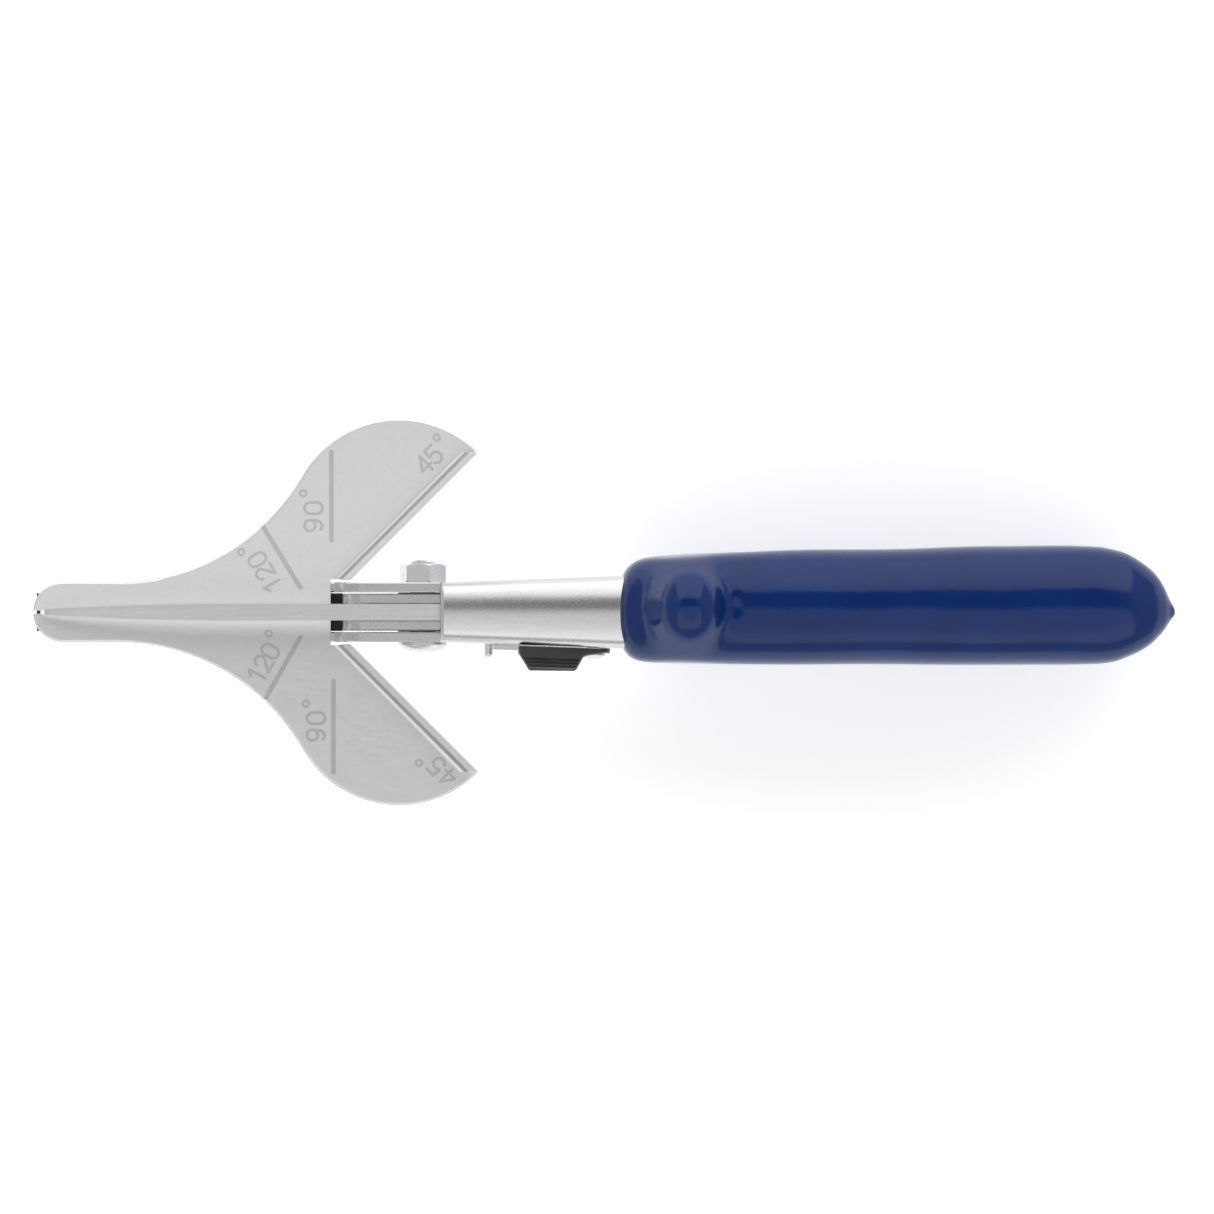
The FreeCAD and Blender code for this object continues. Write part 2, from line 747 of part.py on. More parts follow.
def lock_lever_path():
    """The lever's side view in the unlocked position: a boss on the rivet, an arm and a hook, whose lip
    follows a circle about the rivet so that it swings in under the catch pin."""
    reach, angle = catch_polar()
    open_angle = angle + val.lock_swing
    lip_in = reach + val.catch_radius + 0.25
    lip_out = lip_in + 1.65
    throat = reach - val.catch_radius - 0.35
    tip, root, heel = open_angle - 0.2, open_angle + 5.5, open_angle + 9.5
    boss = 3.3
    return [
        (0, boss),
        (-14.6, 2.6),
        (-19.3, 1.4),
        (-19.7, -11.2),
        around(throat, tip + 1.5),
        around(throat, root),
        around(lip_in, root),
        Via(*around(lip_in, (tip + root) / 2)),
        around(lip_in, tip),
        around(lip_out, tip),
        Via(*around(lip_out, (tip + heel) / 2)),
        around(lip_out, heel),
        (-12.6, -10.5),
        (-9.0, -4.4),
        (0, -boss),
        Via(boss, 0),
    ]


def lock_lever():
    body = new_body("LockLever")
    feature(body, "Pad", outline(body, "XZ_Plane", lock_lever_path(), 0.1), k.lock_sheet)
    drill(body, "XZ_Plane", [(0, 0)], k.rivet_radius + 0.05)
    return keep(lock_frame(body), "lock_lever_plate")


def lock_cap():
    """The ribbed thumb piece: a moulding over the arm, with a thin tail towards the rivet."""
    body = new_body("LockCap")
    path = [
        (-14.5, -0.25), (-14.5, -1.9), (-12.3, -5.0), (-3.2, -4.75), (-1.7, -1.9), (3.0, -1.0), (3.0, -0.25),
    ]
    block = feature(body, "Pad", outline(body, "XY_Plane", path, -1.6), 6.0)
    for row in range(4):
        depth = -2.7 - 0.62 * row
        groove = [(-15.0, depth), (-15.0, depth - 0.28), (0.5, depth - 0.28), (0.5, depth)]
        feature(body, "Pocket", outline(body, "XY_Plane", groove, 4.4), 0.3)
    plate = doc.addObject("Part::Feature", "LockCapSlot")
    plate.Shape = Part.makeBox(24.0, 1.2, 5.6, Vector(-18.0, -1.15, -2.0))
    tail = doc.addObject("Part::Feature", "LockCapHeadRoom")
    tail.Shape = Part.makeBox(12.0, 3.0, 5.6, Vector(-2.6, -4.1, -2.0))
    room = boolean("MultiFuse", "LockCapRoom", plate, tail)
    return keep(lock_frame(boolean("Cut", "LockCapCut", body, room)), "lock_thumb_cap")


def lock_rivet():
    """The lever's rivet: a shank through the wall, a domed head outside and a flat one inside."""
    body = new_body("LockRivet")
    wall = val.upper_sheet + 0.05
    face = val.lock_sheet + 0.15
    profile = [
        (0, -wall - 0.7),
        (1.9, -wall - 0.7),
        (1.9, -wall),
        (k.rivet_radius, -wall),
        (k.rivet_radius, face),
        (2.3, face),
        (2.3, face + 0.35),
        Via(1.35, face + 0.95),
        (0, face + 1.15),
    ]
    turned(body, profile)
    return keep(lock_frame(body), "lock_pivot_rivet")


def turned(body, profile, role="XY_Plane"):
    """A solid of revolution about -Y from a half profile of (radius, distance out along -Y)."""
    flipped = [
        Via(p.point[0], -size(p.point[1])) if isinstance(p, Via) else (p[0], -size(p[1]))
        for p in profile
    ]
    sketch = outline(body, role, flipped)
    spin = feature(body, "Revolution", sketch)
    spin.ReferenceAxis = (sketch, ["V_Axis"])
    spin.Angle = 360.0
    return spin


# --- the main pivot ----------------------------------------------------------------------------


def pivot_bolt():
    """A round-headed bolt with a hexagon socket in its head."""
    body = new_body("PivotBolt")
    seat = k.ear_outer
    crown = k.ear_outer + k.head_height
    profile = [
        (0, -k.bolt_end),
        (k.bolt_radius - 0.4, -k.bolt_end),
        (k.bolt_radius, 0.4 - k.bolt_end),
        (k.bolt_radius, seat),
        (k.head_radius, seat),
        (k.head_radius, seat + 0.5),
        Via(k.head_radius * 0.79, seat + k.head_height * 0.74),
        (k.head_radius * 0.42, crown),
        (0, crown),
    ]
    turned(body, profile)
    socket = hexagon(3.0)
    feature(body, "Pocket", outline(body, "XZ_Plane", socket, crown), 1.4)
    return keep(body, "pivot_bolt")


def hexagon(flats, turn=0.0):
    radius = flats / math.sqrt(3)
    return [around(radius, turn + 60 * i) for i in range(6)]


def pivot_nut():
    """A hexagon nut, chamfered round both faces."""
    blank = new_body("NutBlank")
    sides = outline(blank, "XZ_Plane", hexagon(val.nut_flats, 11.3), -k.ear_outer - k.nut_height)
    feature(blank, "Pad", sides, k.nut_height)
    drill(blank, "XZ_Plane", [(0, 0)], k.bolt_radius)
    cone = new_body("NutCone")
    far, near = -(k.ear_outer + k.nut_height), -k.ear_outer
    reach = val.nut_flats / math.sqrt(3)
    profile = [
        (0, far), (reach - 0.75, far), (reach + 0.2, far + 0.55), (reach + 0.2, near - 0.3),
        (reach - 0.3, near), (0, near),
    ]
    turned(cone, profile)
    return keep(boolean("Common", "NutCommon", blank, cone), "pivot_nut")


def pivot_shims():
    """Two thin washers in the gaps between the ears and the cheeks."""
    rings = []
    for side in (1, -1):
        start = (0, side * (val.lower_outer + 0.05), 0)
        disc = cylinder(f"ShimDisc{side + 1}", start, (0, side, 0), 4.8, 0.35)
        hole = cylinder(f"ShimHole{side + 1}", start, (0, side, 0), k.bolt_radius, 0.35)
        rings.append(boolean("Cut", f"Shim{side + 1}", disc, hole))
    return keep(boolean("Compound", "Shims", *rings), "pivot_shims")


# --- the blade and the anvil -------------------------------------------------------------------


def blade_path():
    """Side view of the blade: a straight edge, a rounded nose, a rising spine and a round tang."""
    edge = k.edge_level
    return [
        (-74.6, edge),
        Via(-74.2, -0.4),
        (-71.9, 1.1),
        Via(-56.0, 4.9),
        (-40.0, 6.4),
        (-15.0, 6.9),
        (1.0, 6.3),
        Via(8.6, 4.2),
        (11.4, -1.0),
        Via(8.4, -4.9),
        (3.0, -6.0),
        (-13.5, -7.4),
        (-17.6, edge),
    ]


def cutting_blade():
    """The blade plate, ground from both sides to the edge along its bottom."""
    body = new_body("Blade")
    both_sides(body, "Pad", outline(body, "XZ_Plane", blade_path()), k.blade_thickness)
    half = k.blade_thickness * 0.5
    for side in (1, -1):
        ground = [
            (0.02 * side, k.edge_level - 0.01),
            (half * side, k.edge_level + k.bevel_height),
            (half * side + 2.0 * side, k.edge_level + k.bevel_height),
            (half * side + 2.0 * side, k.edge_level - 6.0),
            (0.02 * side, k.edge_level - 6.0),
        ]
        sketch = outline(body, "YZ_Plane", ground, -80.0)
        feature(body, "Pocket", sketch, 80.0 - 15.6, Reversed=True)
    drill(body, "XZ_Plane", [(0, 0)], k.bore_radius)
    drill(body, "XZ_Plane", RIVET_SPOTS, 1.5)
    drill(body, "XZ_Plane", [(k.catch_x, k.catch_z)], k.catch_radius + 0.2)
    return keep(body, "cutting_blade")


def blade_rivets():
    """Two flush rivets that clamp the blade between the cheeks."""
    span = k.lower_outer * 2
    pins = []
    for number, (x, z) in enumerate(RIVET_SPOTS):
        pins.append(cylinder(f"BladeRivet{number}", (x, -val.lower_outer, z), (0, 1, 0), 1.5, span))
    return keep(boolean("Compound", "BladeRivets", *pins), "blade_rivets")


def catch_pin():
    """A pin through the lower handle that stands out under the ear on the right for the hook."""
    body = new_body("CatchPin")
    profile = [
        (0, -k.lower_outer),
        (k.catch_radius, -k.lower_outer),
        (k.catch_radius, k.catch_reach - 0.6),
        Via(k.catch_radius * 0.75, k.catch_reach - 0.15),
        (0, k.catch_reach),
    ]
    turned(body, profile)
    body.Placement = Placement(Vector(val.catch_x, 0, val.catch_z), Rotation())
    return keep(body, "catch_pin")


ANVIL_TOP = -2.95
DOWELS = [(-60.0, -4.9), (-32.0, -4.9)]


def anvil_bar():
    """The replaceable plastic bar that the edge closes on, held between the rails, with a lower heel
    behind the blade's edge that closes the gap in front of the cheeks."""
    body = new_body("Anvil")
    top = ANVIL_TOP
    under = top - k.anvil_height
    path = [
        (-k.anvil_front, top), (-k.anvil_rear, top), (-k.anvil_rear, k.heel_top), (-k.heel_rear, k.heel_top),
        (-k.heel_rear, under), (-k.anvil_front, under),
    ]
    both_sides(body, "Pad", outline(body, "XZ_Plane", path), k.anvil_width)
    drill(body, "XZ_Plane", DOWELS, k.dowel_radius)
    return keep(body, "anvil_bar")


def anvil_dowels():
    pins = []
    reach = k.ear_outer
    for number, (x, z) in enumerate(DOWELS):
        start = (x, -float(reach), z)
        pins.append(cylinder(f"Dowel{number}", start, (0, 1, 0), k.dowel_radius, reach * 2))
    return keep(boolean("Compound", "Dowels", *pins), "anvil_dowels")


def weld_beads():
    """Short fillet welds in the corners between the rails and the table."""
    beads = []
    for side in (1, -1):
        for start, length in ((-40.0, 8.0), (-27.5, 7.5)):
            y = side * val.ear_outer
            under = val.table_level - val.plate_thickness + abs(y) * TAN_RISE - 0.01
            leg = 1.6
            low = Vector(start, y, under - leg)
            corner = Vector(start, y, under)
            out = Vector(start, y + side * leg, under + leg * TAN_RISE)
            face = Part.Face(Part.makePolygon([corner, out, low, corner]))
            beads.append(face.extrude(Vector(length, 0, 0)))
    body = doc.addObject("Part::Feature", "WeldBeads")
    body.Shape = Part.makeCompound(beads)
    return keep(body, "table_weld_beads")


# --- the spring between the handles --------------------------------------------------------------


def spring_seat(label, up):
    """A seat pressed to the web inside a handle, with a stud for the coil."""
    disc = cylinder(f"{label}_disc", (val.spring_x, 0, up * val.spring_half), (0, 0, up), 3.6, 3.2)
    stud = cylinder(
        f"{label}_stud", (val.spring_x, 0, up * (val.spring_half - 3.0)), (0, 0, up),
        k.spring_radius - k.spring_wire * 0.5 - 0.15, 3.5,
    )
    both = boolean("MultiFuse", f"{label}_blank", disc, stud)
    envelope = doc.addObject("Part::Feature", f"{label}_shell")
    return both, envelope


def spring():
    """The compression coil, with its round wire swept along a helix."""
    helix = doc.addObject("Part::Helix", "SpringHelix")
    span = 2 * (val.spring_half - val.spring_wire / 2) - 0.1
    helix.Pitch = span / val.spring_turns
    helix.Height = span
    helix.Radius = val.spring_radius
    helix.setExpression("Radius", "Sizes.spring_radius")
    wire = doc.addObject("Part::Circle", "SpringWire")
    wire.Radius = val.spring_wire / 2
    wire.Placement = Placement(Vector(val.spring_radius, 0, 0), Rotation(Vector(1, 0, 0), 90))
    sweep = doc.addObject("Part::Sweep", "SpringSweep")
    sweep.Sections = [wire]
    sweep.Spine = (helix, ["Edge1"])
    sweep.Solid = True
    sweep.Frenet = True
    sweep.Placement = Placement(Vector(val.spring_x, 0, -span / 2), Rotation())
    return keep(sweep, "opening_spring")


# --- the dipped grips ------------------------------------------------------------------------------


def grip_centre(x):
    """Height above the pivot of the middle of the grip."""
    return 16.9 - 8.2 * math.exp(-(x - val.grip_front) / 28.0)


def grip(label, up):
    """A thick dipped sleeve round the handle, with a finger horn behind its front rim and a drip nub."""
    body = new_body(f"{label}_sleeve")
    front, end = val.grip_front, val.grip_end
    stations = [
        (front, 0.0, 7.6, 8.0),
        (front + 2.4, 0.25, 9.4, 8.8),
        (front + 8.6, 0.55, 10.4, 9.3),
        (64.0, 0.8, 10.9, 9.6),
        (90.0, 1.0, 11.3, 10.0),
        (116.0, 1.4, 11.5, 10.0),
        (133.0, 1.3, 10.6, 9.0),
        (140.6, 1.1, 8.0, 6.8),
        (end - 1.6, 0.3, 3.6, 3.2),
        (end, 0.0, 1.0, 0.9),
    ]
    sections = []
    for x, shift, half_width, half_height in stations:
        sketch = new_sketch(body, "YZ_Plane", x)
        middle = Vector(shift, up * grip_centre(x), 0)
        wide, tall = Vector(half_width, 0, 0), Vector(0, half_height, 0)
        if half_width >= half_height:
            ellipse = Part.Ellipse(middle + wide, middle + tall, middle)
        else:
            ellipse = Part.Ellipse(middle + tall, middle - wide, middle)
        sketch.addGeometry(ellipse, False)
        sections.append(sketch)
    loft = feature(body, "AdditiveLoft", sections[0])
    loft.Sections = sections[1:]
    doc.recompute()
    base = 15.0
    tip = val.pivot_rise - val.horn_radius
    horn = doc.addObject("Part::Cylinder", f"{label}_horn")
    horn.Radius = val.horn_radius
    horn.Height = tip - base
    horn.setExpression("Radius", "Sizes.horn_radius")
    horn.setExpression("Height", f"Sizes.pivot_rise - Sizes.horn_radius - {base}")
    upright = Rotation(Vector(0, 0, 1), Vector(0, 0, up))
    horn.Placement = Placement(Vector(val.horn_x, 0.9, up * base), upright)
    ball = doc.addObject("Part::Sphere", f"{label}_ball")
    ball.Radius = val.horn_radius
    ball.setExpression("Radius", "Sizes.horn_radius")
    ball.Placement = Placement(Vector(val.horn_x, 0.9, up * tip), Rotation())
    full = boolean("MultiFuse", f"{label}_full", body, horn, ball)
    doc.recompute()
    return full


def hollowed(full, handle_shape, label):
    """The grip with the handle's room cut out of it."""
    room = doc.addObject("Part::Feature", f"{label}_room")
    room.Shape = handle_shape
    return keep(boolean("Cut", f"{label}_cut", full, room), label)


# --- the whole tool ----------------------------------------------------------------------------------


def at_pivot(node):
    """The node's shape moved back into the pivot's coordinates."""
    shape = node.Shape.copy()
    shape.translate(Vector(val.centre_x, 0, -val.pivot_rise))
    return shape


def build():
    wing(1, "left_wing_plate")
    wing(-1, "right_wing_plate")
    upper = upper_handle()
    lower = lower_handle()
    cutting_blade()
    blade_rivets()
    anvil_bar()
    anvil_dowels()
    weld_beads()
    pivot_bolt()
    pivot_nut()
    pivot_shims()
    catch_pin()
    lock_lever()
    lock_cap()
    lock_rivet()
    spring()
    doc.recompute()
    for handle, place, up in ((upper, "upper", 1), (lower, "lower", -1)):
        hollowed(grip(f"{place}_grip", up), at_pivot(handle), f"{place}_grip")
        both, room = spring_seat(f"{place}_spring_seat", up)
        room.Shape = at_pivot(handle)
        keep(boolean("Cut", f"{place}_seat_cut", both, room), f"{place}_spring_seat")
    doc.recompute()


def check():
    """Stops if any object failed, or if any sub-part is empty or broken."""
    for obj in doc.Objects:
        if "Invalid" in obj.State or "Error" in obj.State:
            raise RuntimeError(f"{obj.Name} ({obj.Label}): {obj.State}")
    for node in NODES:
        if node.Shape.isNull() or not node.Shape.isValid():
            raise RuntimeError(f"{node.Label} has no valid shape")


def write():
    os.makedirs("parts", exist_ok=True)
    for node in NODES:
        node.Shape.exportStep(f"parts/{node.Label}.step")
        box = node.Shape.BoundBox
        print(f"{node.Label}: {len(node.Shape.Solids)} solids, {node.Shape.Volume:.1f} mm3,"
              f" {box.XLength:.1f} x {box.YLength:.1f} x {box.ZLength:.1f}")


build()
check()
write()
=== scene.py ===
import json
import math

import bpy
import numpy as np
from bpy.props import FloatProperty, FloatVectorProperty, IntProperty, PointerProperty
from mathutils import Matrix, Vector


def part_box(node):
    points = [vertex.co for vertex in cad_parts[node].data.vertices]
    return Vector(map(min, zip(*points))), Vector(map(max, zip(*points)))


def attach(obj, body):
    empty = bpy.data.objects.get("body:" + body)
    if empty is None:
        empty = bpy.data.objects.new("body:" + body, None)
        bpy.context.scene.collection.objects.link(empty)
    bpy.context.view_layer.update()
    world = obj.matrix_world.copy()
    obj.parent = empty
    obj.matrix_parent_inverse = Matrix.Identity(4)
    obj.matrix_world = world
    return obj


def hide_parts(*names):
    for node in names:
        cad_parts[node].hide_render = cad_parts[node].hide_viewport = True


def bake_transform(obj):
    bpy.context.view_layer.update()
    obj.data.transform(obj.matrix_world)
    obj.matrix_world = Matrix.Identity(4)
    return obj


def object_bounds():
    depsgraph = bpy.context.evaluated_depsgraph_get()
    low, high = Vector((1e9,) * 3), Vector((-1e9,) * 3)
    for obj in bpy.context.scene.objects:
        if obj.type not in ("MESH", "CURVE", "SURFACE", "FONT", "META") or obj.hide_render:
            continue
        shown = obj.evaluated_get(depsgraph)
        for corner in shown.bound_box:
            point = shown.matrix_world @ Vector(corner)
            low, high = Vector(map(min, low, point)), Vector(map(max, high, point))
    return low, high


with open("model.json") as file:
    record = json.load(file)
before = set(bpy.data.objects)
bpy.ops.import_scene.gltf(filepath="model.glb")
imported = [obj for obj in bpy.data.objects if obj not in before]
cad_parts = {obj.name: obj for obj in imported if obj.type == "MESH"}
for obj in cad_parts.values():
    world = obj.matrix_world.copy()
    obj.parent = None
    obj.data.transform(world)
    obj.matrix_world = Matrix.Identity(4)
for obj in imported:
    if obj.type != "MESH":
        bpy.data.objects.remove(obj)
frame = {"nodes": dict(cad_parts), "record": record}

bl_info = {
    "name": "Mitre Shears",
    "version": (1, 0, 0),
    "blender": (4, 5, 0),
    "location": "View3D > Sidebar > Mitre Shears",
    "description": "Dresses mitre shears: pressed handles, dipped grips, spring, thumb piece, studio",
    "category": "Object",
}

MM = 0.001


def corners(box):
    return [[float(number) for number in corner] for corner in box]


CAD_BOX = corners(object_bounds())
NODE_SLOTS = {part["node"]: part["material_slot"] for part in frame["record"]["subparts"]}


def middle(node):
    """The middle of a node's box, in metres."""
    low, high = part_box(node)
    return np.array(low + high) / 2


# shapes are worked out in millimetres about the main pivot: +X to the handles, +Y left, +Z up
PIVOT = middle("pivot_bolt") * (1, 0, 1)
# the wings' upper face: its height at the slot, below the pivot, and its rise away from it in degrees
TABLE_LEVEL = float(PIVOT[2]) - 1.5 * MM
WING_RISE = 2.8


def from_pivot(points):
    """Points in millimetres about the pivot, as metres in the frame."""
    return PIVOT + np.asarray(points, float) * MM


def to_pivot(point):
    return (np.array(point, float) - PIVOT) / MM


# --- sizes and colours a user would change ------------------------------------------------------


def distance(name, description, default):
    return FloatProperty(name=name, description=description, default=default, subtype="DISTANCE",
                         unit="LENGTH", min=0.0)


def colour(name, description, default):
    return FloatVectorProperty(name=name, description=description, default=default, size=3,
                               subtype="COLOR", min=0.0, max=1.0)


class ChannelSizes(bpy.types.PropertyGroup):
    crown: distance("Crown", "Radius that the channels' webs are crowned to", 0.0140)
    lip: distance("Lip", "Radius that a web's front edge is rolled down to", 0.0009)
    shoulder: distance("Shoulder", "Outside radius where a web turns into its walls", 0.0030)
    upper_sheet: distance("Upper sheet", "Thickness of the upper channel's steel", 0.0020)
    lower_sheet: distance("Lower sheet", "Thickness of the lower channel's steel", 0.0018)
    edge: distance("Edge break", "How far the sheet's cut edges are broken", 0.00025)


class GripSizes(bpy.types.PropertyGroup):
    nose: distance("Nose length", "Length over which the grip's front end is rounded", 0.0090)
    horn: distance("Horn radius", "Radius of the finger horn and of its domed tip", 0.0080)
    fillet: distance("Horn fillet", "How softly the horn runs into the grip", 0.0026)
    dip: distance("Dip", "Depth of the valley behind the horn", 0.0005)
    ripple: distance("Ripple", "Height of the slow waves that dipping leaves", 0.00007)


class ThumbSizes(bpy.types.PropertyGroup):
    rib: distance("Rib", "Depth between the thumb piece's ribs", 0.00028)
    pitch: distance("Pitch", "Distance from rib to rib", 0.00062)


class SpringSizes(bpy.types.PropertyGroup):
    wire: distance("Wire", "Thickness of the spring's wire", 0.0009)
    turns: IntProperty(name="Turns", description="Number of turns of the coil", default=7, min=2)


class Colours(bpy.types.PropertyGroup):
    zinc: colour("Zinc", "Zinc-plated table", (0.89, 0.89, 0.89))
    chrome: colour("Chrome", "Plated handles", (0.655, 0.655, 0.66))
    blade: colour("Blade", "Ground blade", (0.81, 0.81, 0.81))
    fastener: colour("Fasteners", "Bolt, nut, rivets and pins", (0.76, 0.76, 0.765))
    # the pivot washers get this black so that they darken the gap between the ears and the cheeks: painted
    # shade there
    black: colour("Black plastic", "Thumb piece, anvil and washers", (0.024, 0.024, 0.025))
    spring: colour("Spring", "Spring wire", (0.55, 0.55, 0.56))
    vinyl: colour("Vinyl", "Dipped grips", (0.003, 0.024, 0.134))


class StageSizes(bpy.types.PropertyGroup):
    camera: distance("Camera", "Height of the camera above the table", 1.6)
    width: distance("Width", "Width of the view at the table", 0.2367)
    view_x: FloatProperty(name="View X", description="Middle of the view along X", default=0.0012,
                          unit="LENGTH")
    view_y: FloatProperty(name="View Y", description="Middle of the view along Y", default=0.0010,
                          unit="LENGTH")
    left: FloatProperty(name="Left panel", description="Radiance of the panel light on +Y", default=1.10)
    right: FloatProperty(name="Right panel", description="Radiance of the panel light on -Y", default=0.74)
    floor: colour("Floor", "Pale floor", (0.97, 0.97, 0.97))
    glow: FloatProperty(name="Glow", description="Light that comes up through the floor", default=0.40)


class Settings(bpy.types.PropertyGroup):
    channels: PointerProperty(type=ChannelSizes)
    grips: PointerProperty(type=GripSizes)
    thumb: PointerProperty(type=ThumbSizes)
    spring: PointerProperty(type=SpringSizes)
    colours: PointerProperty(type=Colours)
    stage: PointerProperty(type=StageSizes)


# --- curves and surfaces ------------------------------------------------------------------------


def smooth(at, knots, values):
    """Values at the places `at` on a smooth curve through the knots.

    Between two knots it is a cubic. Its slope at a knot is the harmonic mean of the chords' slopes on
    both sides, or nothing where they differ in sign, so that the curve never swings past a knot."""
    knots, values, at = (np.asarray(a, float) for a in (knots, values, at))
    chords = np.diff(values) / np.diff(knots)
    before, after = chords[:-1], chords[1:]
    same = before * after > 0
    mean = np.where(same, 2 * before * after / np.where(same, before + after, 1), 0)
    slopes = np.concatenate([chords[:1], mean, chords[-1:]])
    i = np.clip(np.searchsorted(knots, at) - 1, 0, len(knots) - 2)
    gap = knots[i + 1] - knots[i]
    t = np.clip((at - knots[i]) / gap, 0, 1)
    u = 1 - t
    ends = (1 + 2 * t) * u**2 * values[i] + t**2 * (3 - 2 * t) * values[i + 1]
    return ends + gap * t * u * (u * slopes[i] - t * slopes[i + 1])


def arc_height(x, first, via, last):
    """Height at x of the circle through three points.

    Its centre is as far from the first point as from the other two, which gives two equations in a
    line each; the height is the centre's plus or minus the root of radius squared less run squared."""
    points = np.array([first, via, last], float)
    steps = np.diff(points, axis=0)
    centre = np.linalg.solve(2 * steps, np.diff((points**2).sum(1)))
    radius = math.dist(centre, first)
    return centre[1] + np.sign(via[1] - centre[1]) * np.sqrt(radius**2 - (x - centre[0]) ** 2)


def stations(*runs):
    """Places along X from runs of (start, end, number), each at even steps."""
    return np.concatenate([np.linspace(*run) for run in runs])


def blunt(share, power):
    """How wide a rounded end is at a share of its own length: a superellipse of the given power,
    the power's root of 1 less (1 less the share) to that power."""
    return (1 - (1 - np.clip(share, 0, 1)) ** power) ** (1 / power)


def tube(rows):
    """Points and faces of a closed shell from closed loops of points, in an array (loops, around, 3).

    Each loop is joined to the next with a ring of quads, and the first and last are closed with one
    face each.  The quads' signed volume about the shell's middle tells if they face inwards; then every
    face is turned over."""
    loops, around = rows.shape[:2]
    index = np.arange(loops * around).reshape(loops, around)
    here, on = index[:-1], index[1:]
    quads = np.stack([here, np.roll(here, -1, 1), np.roll(on, -1, 1), on], axis=-1).reshape(-1, 4)
    points = rows.reshape(-1, 3)
    corner = points[quads] - points.mean(0)
    half = np.cross(corner[:, 1], corner[:, 2]) + np.cross(corner[:, 2], corner[:, 3])
    faces = quads.tolist() + [index[0, ::-1].tolist(), index[-1].tolist()]
    if (corner[:, 0] * half).sum() < 0:
        faces = [face[::-1] for face in faces]
    return points, faces


def piece(name, shells, body, finish_slot, sharp=35.0):
    """One object from shells in millimetres about the pivot, smooth but for edges sharper than `sharp`."""
    points, faces, start = [], [], 0
    for shell_points, shell_faces in shells:
        points.append(shell_points)
        faces += [[start + i for i in face] for face in shell_faces]
        start += len(shell_points)
    mesh = bpy.data.meshes.new(name)
    mesh.from_pydata(from_pivot(np.concatenate(points)).tolist(), [], faces)
    mesh.validate()
    mesh.shade_smooth()
    mesh.set_sharp_from_angle(angle=math.radians(sharp))
    made = bpy.data.objects.new(name, mesh)
    bpy.context.scene.collection.objects.link(made)
    mesh.materials.append(finish(finish_slot))
    if body:
        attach(made, body)
    return made


# --- finishes -----------------------------------------------------------------------------------

# the middle part of a noise's values, where nearly all of them lie
PATTERN_RANGE = (0.3, 0.7)


class Finish:
    """A material: one Principled shader, with patterns in object coordinates wired to it."""

    def __init__(self, name, **constants):
        self.material = bpy.data.materials.new(name)
        self.material.use_nodes = True
        self.tree = self.material.node_tree
        self.tree.nodes.clear()
        self.shader = self.add("ShaderNodeBsdfPrincipled")
        for socket, value in constants.items():
            self.shader.inputs[socket.replace("_", " ")].default_value = value
        output = self.add("ShaderNodeOutputMaterial")
        self.link(self.shader.outputs["BSDF"], output.inputs["Surface"])
        self.place = self.add("ShaderNodeTexCoord").outputs["Object"]

    def add(self, kind, **settings):
        node = self.tree.nodes.new(kind)
        for name, value in settings.items():
            setattr(node, name, value)
        return node

    def link(self, source, target):
        self.tree.links.new(source, target)

    def noise(self, per_metre, stretch=(1, 1, 1), detail=3.0):
        """Soft noise with so many features to a metre, drawn out along the axes with a small stretch."""
        mapping = self.add("ShaderNodeMapping")
        mapping.inputs["Scale"].default_value = stretch
        pattern = self.add("ShaderNodeTexNoise")
        pattern.inputs["Scale"].default_value = per_metre
        pattern.inputs["Detail"].default_value = detail
        self.link(self.place, mapping.inputs["Vector"])
        self.link(mapping.outputs["Vector"], pattern.inputs["Vector"])
        return pattern.outputs["Fac"]

    def arithmetic(self, operation, first, second=None):
        """One step of arithmetic on a socket, with a second socket or a number where it needs one."""
        node = self.add("ShaderNodeMath", operation=operation)
        self.link(first, node.inputs[0])
        if isinstance(second, bpy.types.NodeSocket):
            self.link(second, node.inputs[1])
        elif second is not None:
            node.inputs[1].default_value = second
        return node.outputs[0]

    def tint(self, pattern, base, low, high):
        """Base colour from base times low to base times high, over the middle of the pattern's range."""
        ramp = self.add("ShaderNodeValToRGB")
        for element, at, share in zip(ramp.color_ramp.elements, PATTERN_RANGE, (low, high)):
            element.position = at
            element.color = (*[min(1.0, channel * share) for channel in base], 1)
        self.link(pattern, ramp.inputs["Fac"])
        self.link(ramp.outputs["Color"], self.shader.inputs["Base Color"])
        return ramp.outputs["Color"]

    def shine(self, pattern, low, high):
        """Roughness from low to high, over the middle of the pattern's range."""
        span = self.add("ShaderNodeMapRange")
        limits = (*PATTERN_RANGE, low, high)
        for socket, value in zip(("From Min", "From Max", "To Min", "To Max"), limits):
            span.inputs[socket].default_value = value
        self.link(pattern, span.inputs["Value"])
        self.link(span.outputs["Result"], self.shader.inputs["Roughness"])

    def relief(self, *layers):
        """Bump from (pattern, height in metres) layers, one on the other."""
        below = None
        for pattern, height in layers:
            bump = self.add("ShaderNodeBump")
            bump.inputs["Strength"].default_value = 1.0
            bump.inputs["Distance"].default_value = height
            self.link(pattern, bump.inputs["Height"])
            if below:
                self.link(below, bump.inputs["Normal"])
            below = bump.outputs["Normal"]
        self.link(below, self.shader.inputs["Normal"])


# how bright the zinc is painted by the height above the wings' face, in mm: painted shade, darker in the
# engraved marks and in the corner where a fence is bent up
PAINTED_SHADE = (
    (-0.30, 1.0), (-0.24, 1.0), (-0.20, 0.74), (-0.07, 0.78), (-0.03, 1.0), (0.06, 1.0), (0.30, 0.50),
    (0.90, 0.62), (1.60, 0.92), (2.0, 1.0),
)
PAINTED_SHADE_SPAN = (PAINTED_SHADE[-1][0] - PAINTED_SHADE[0][0]) * MM


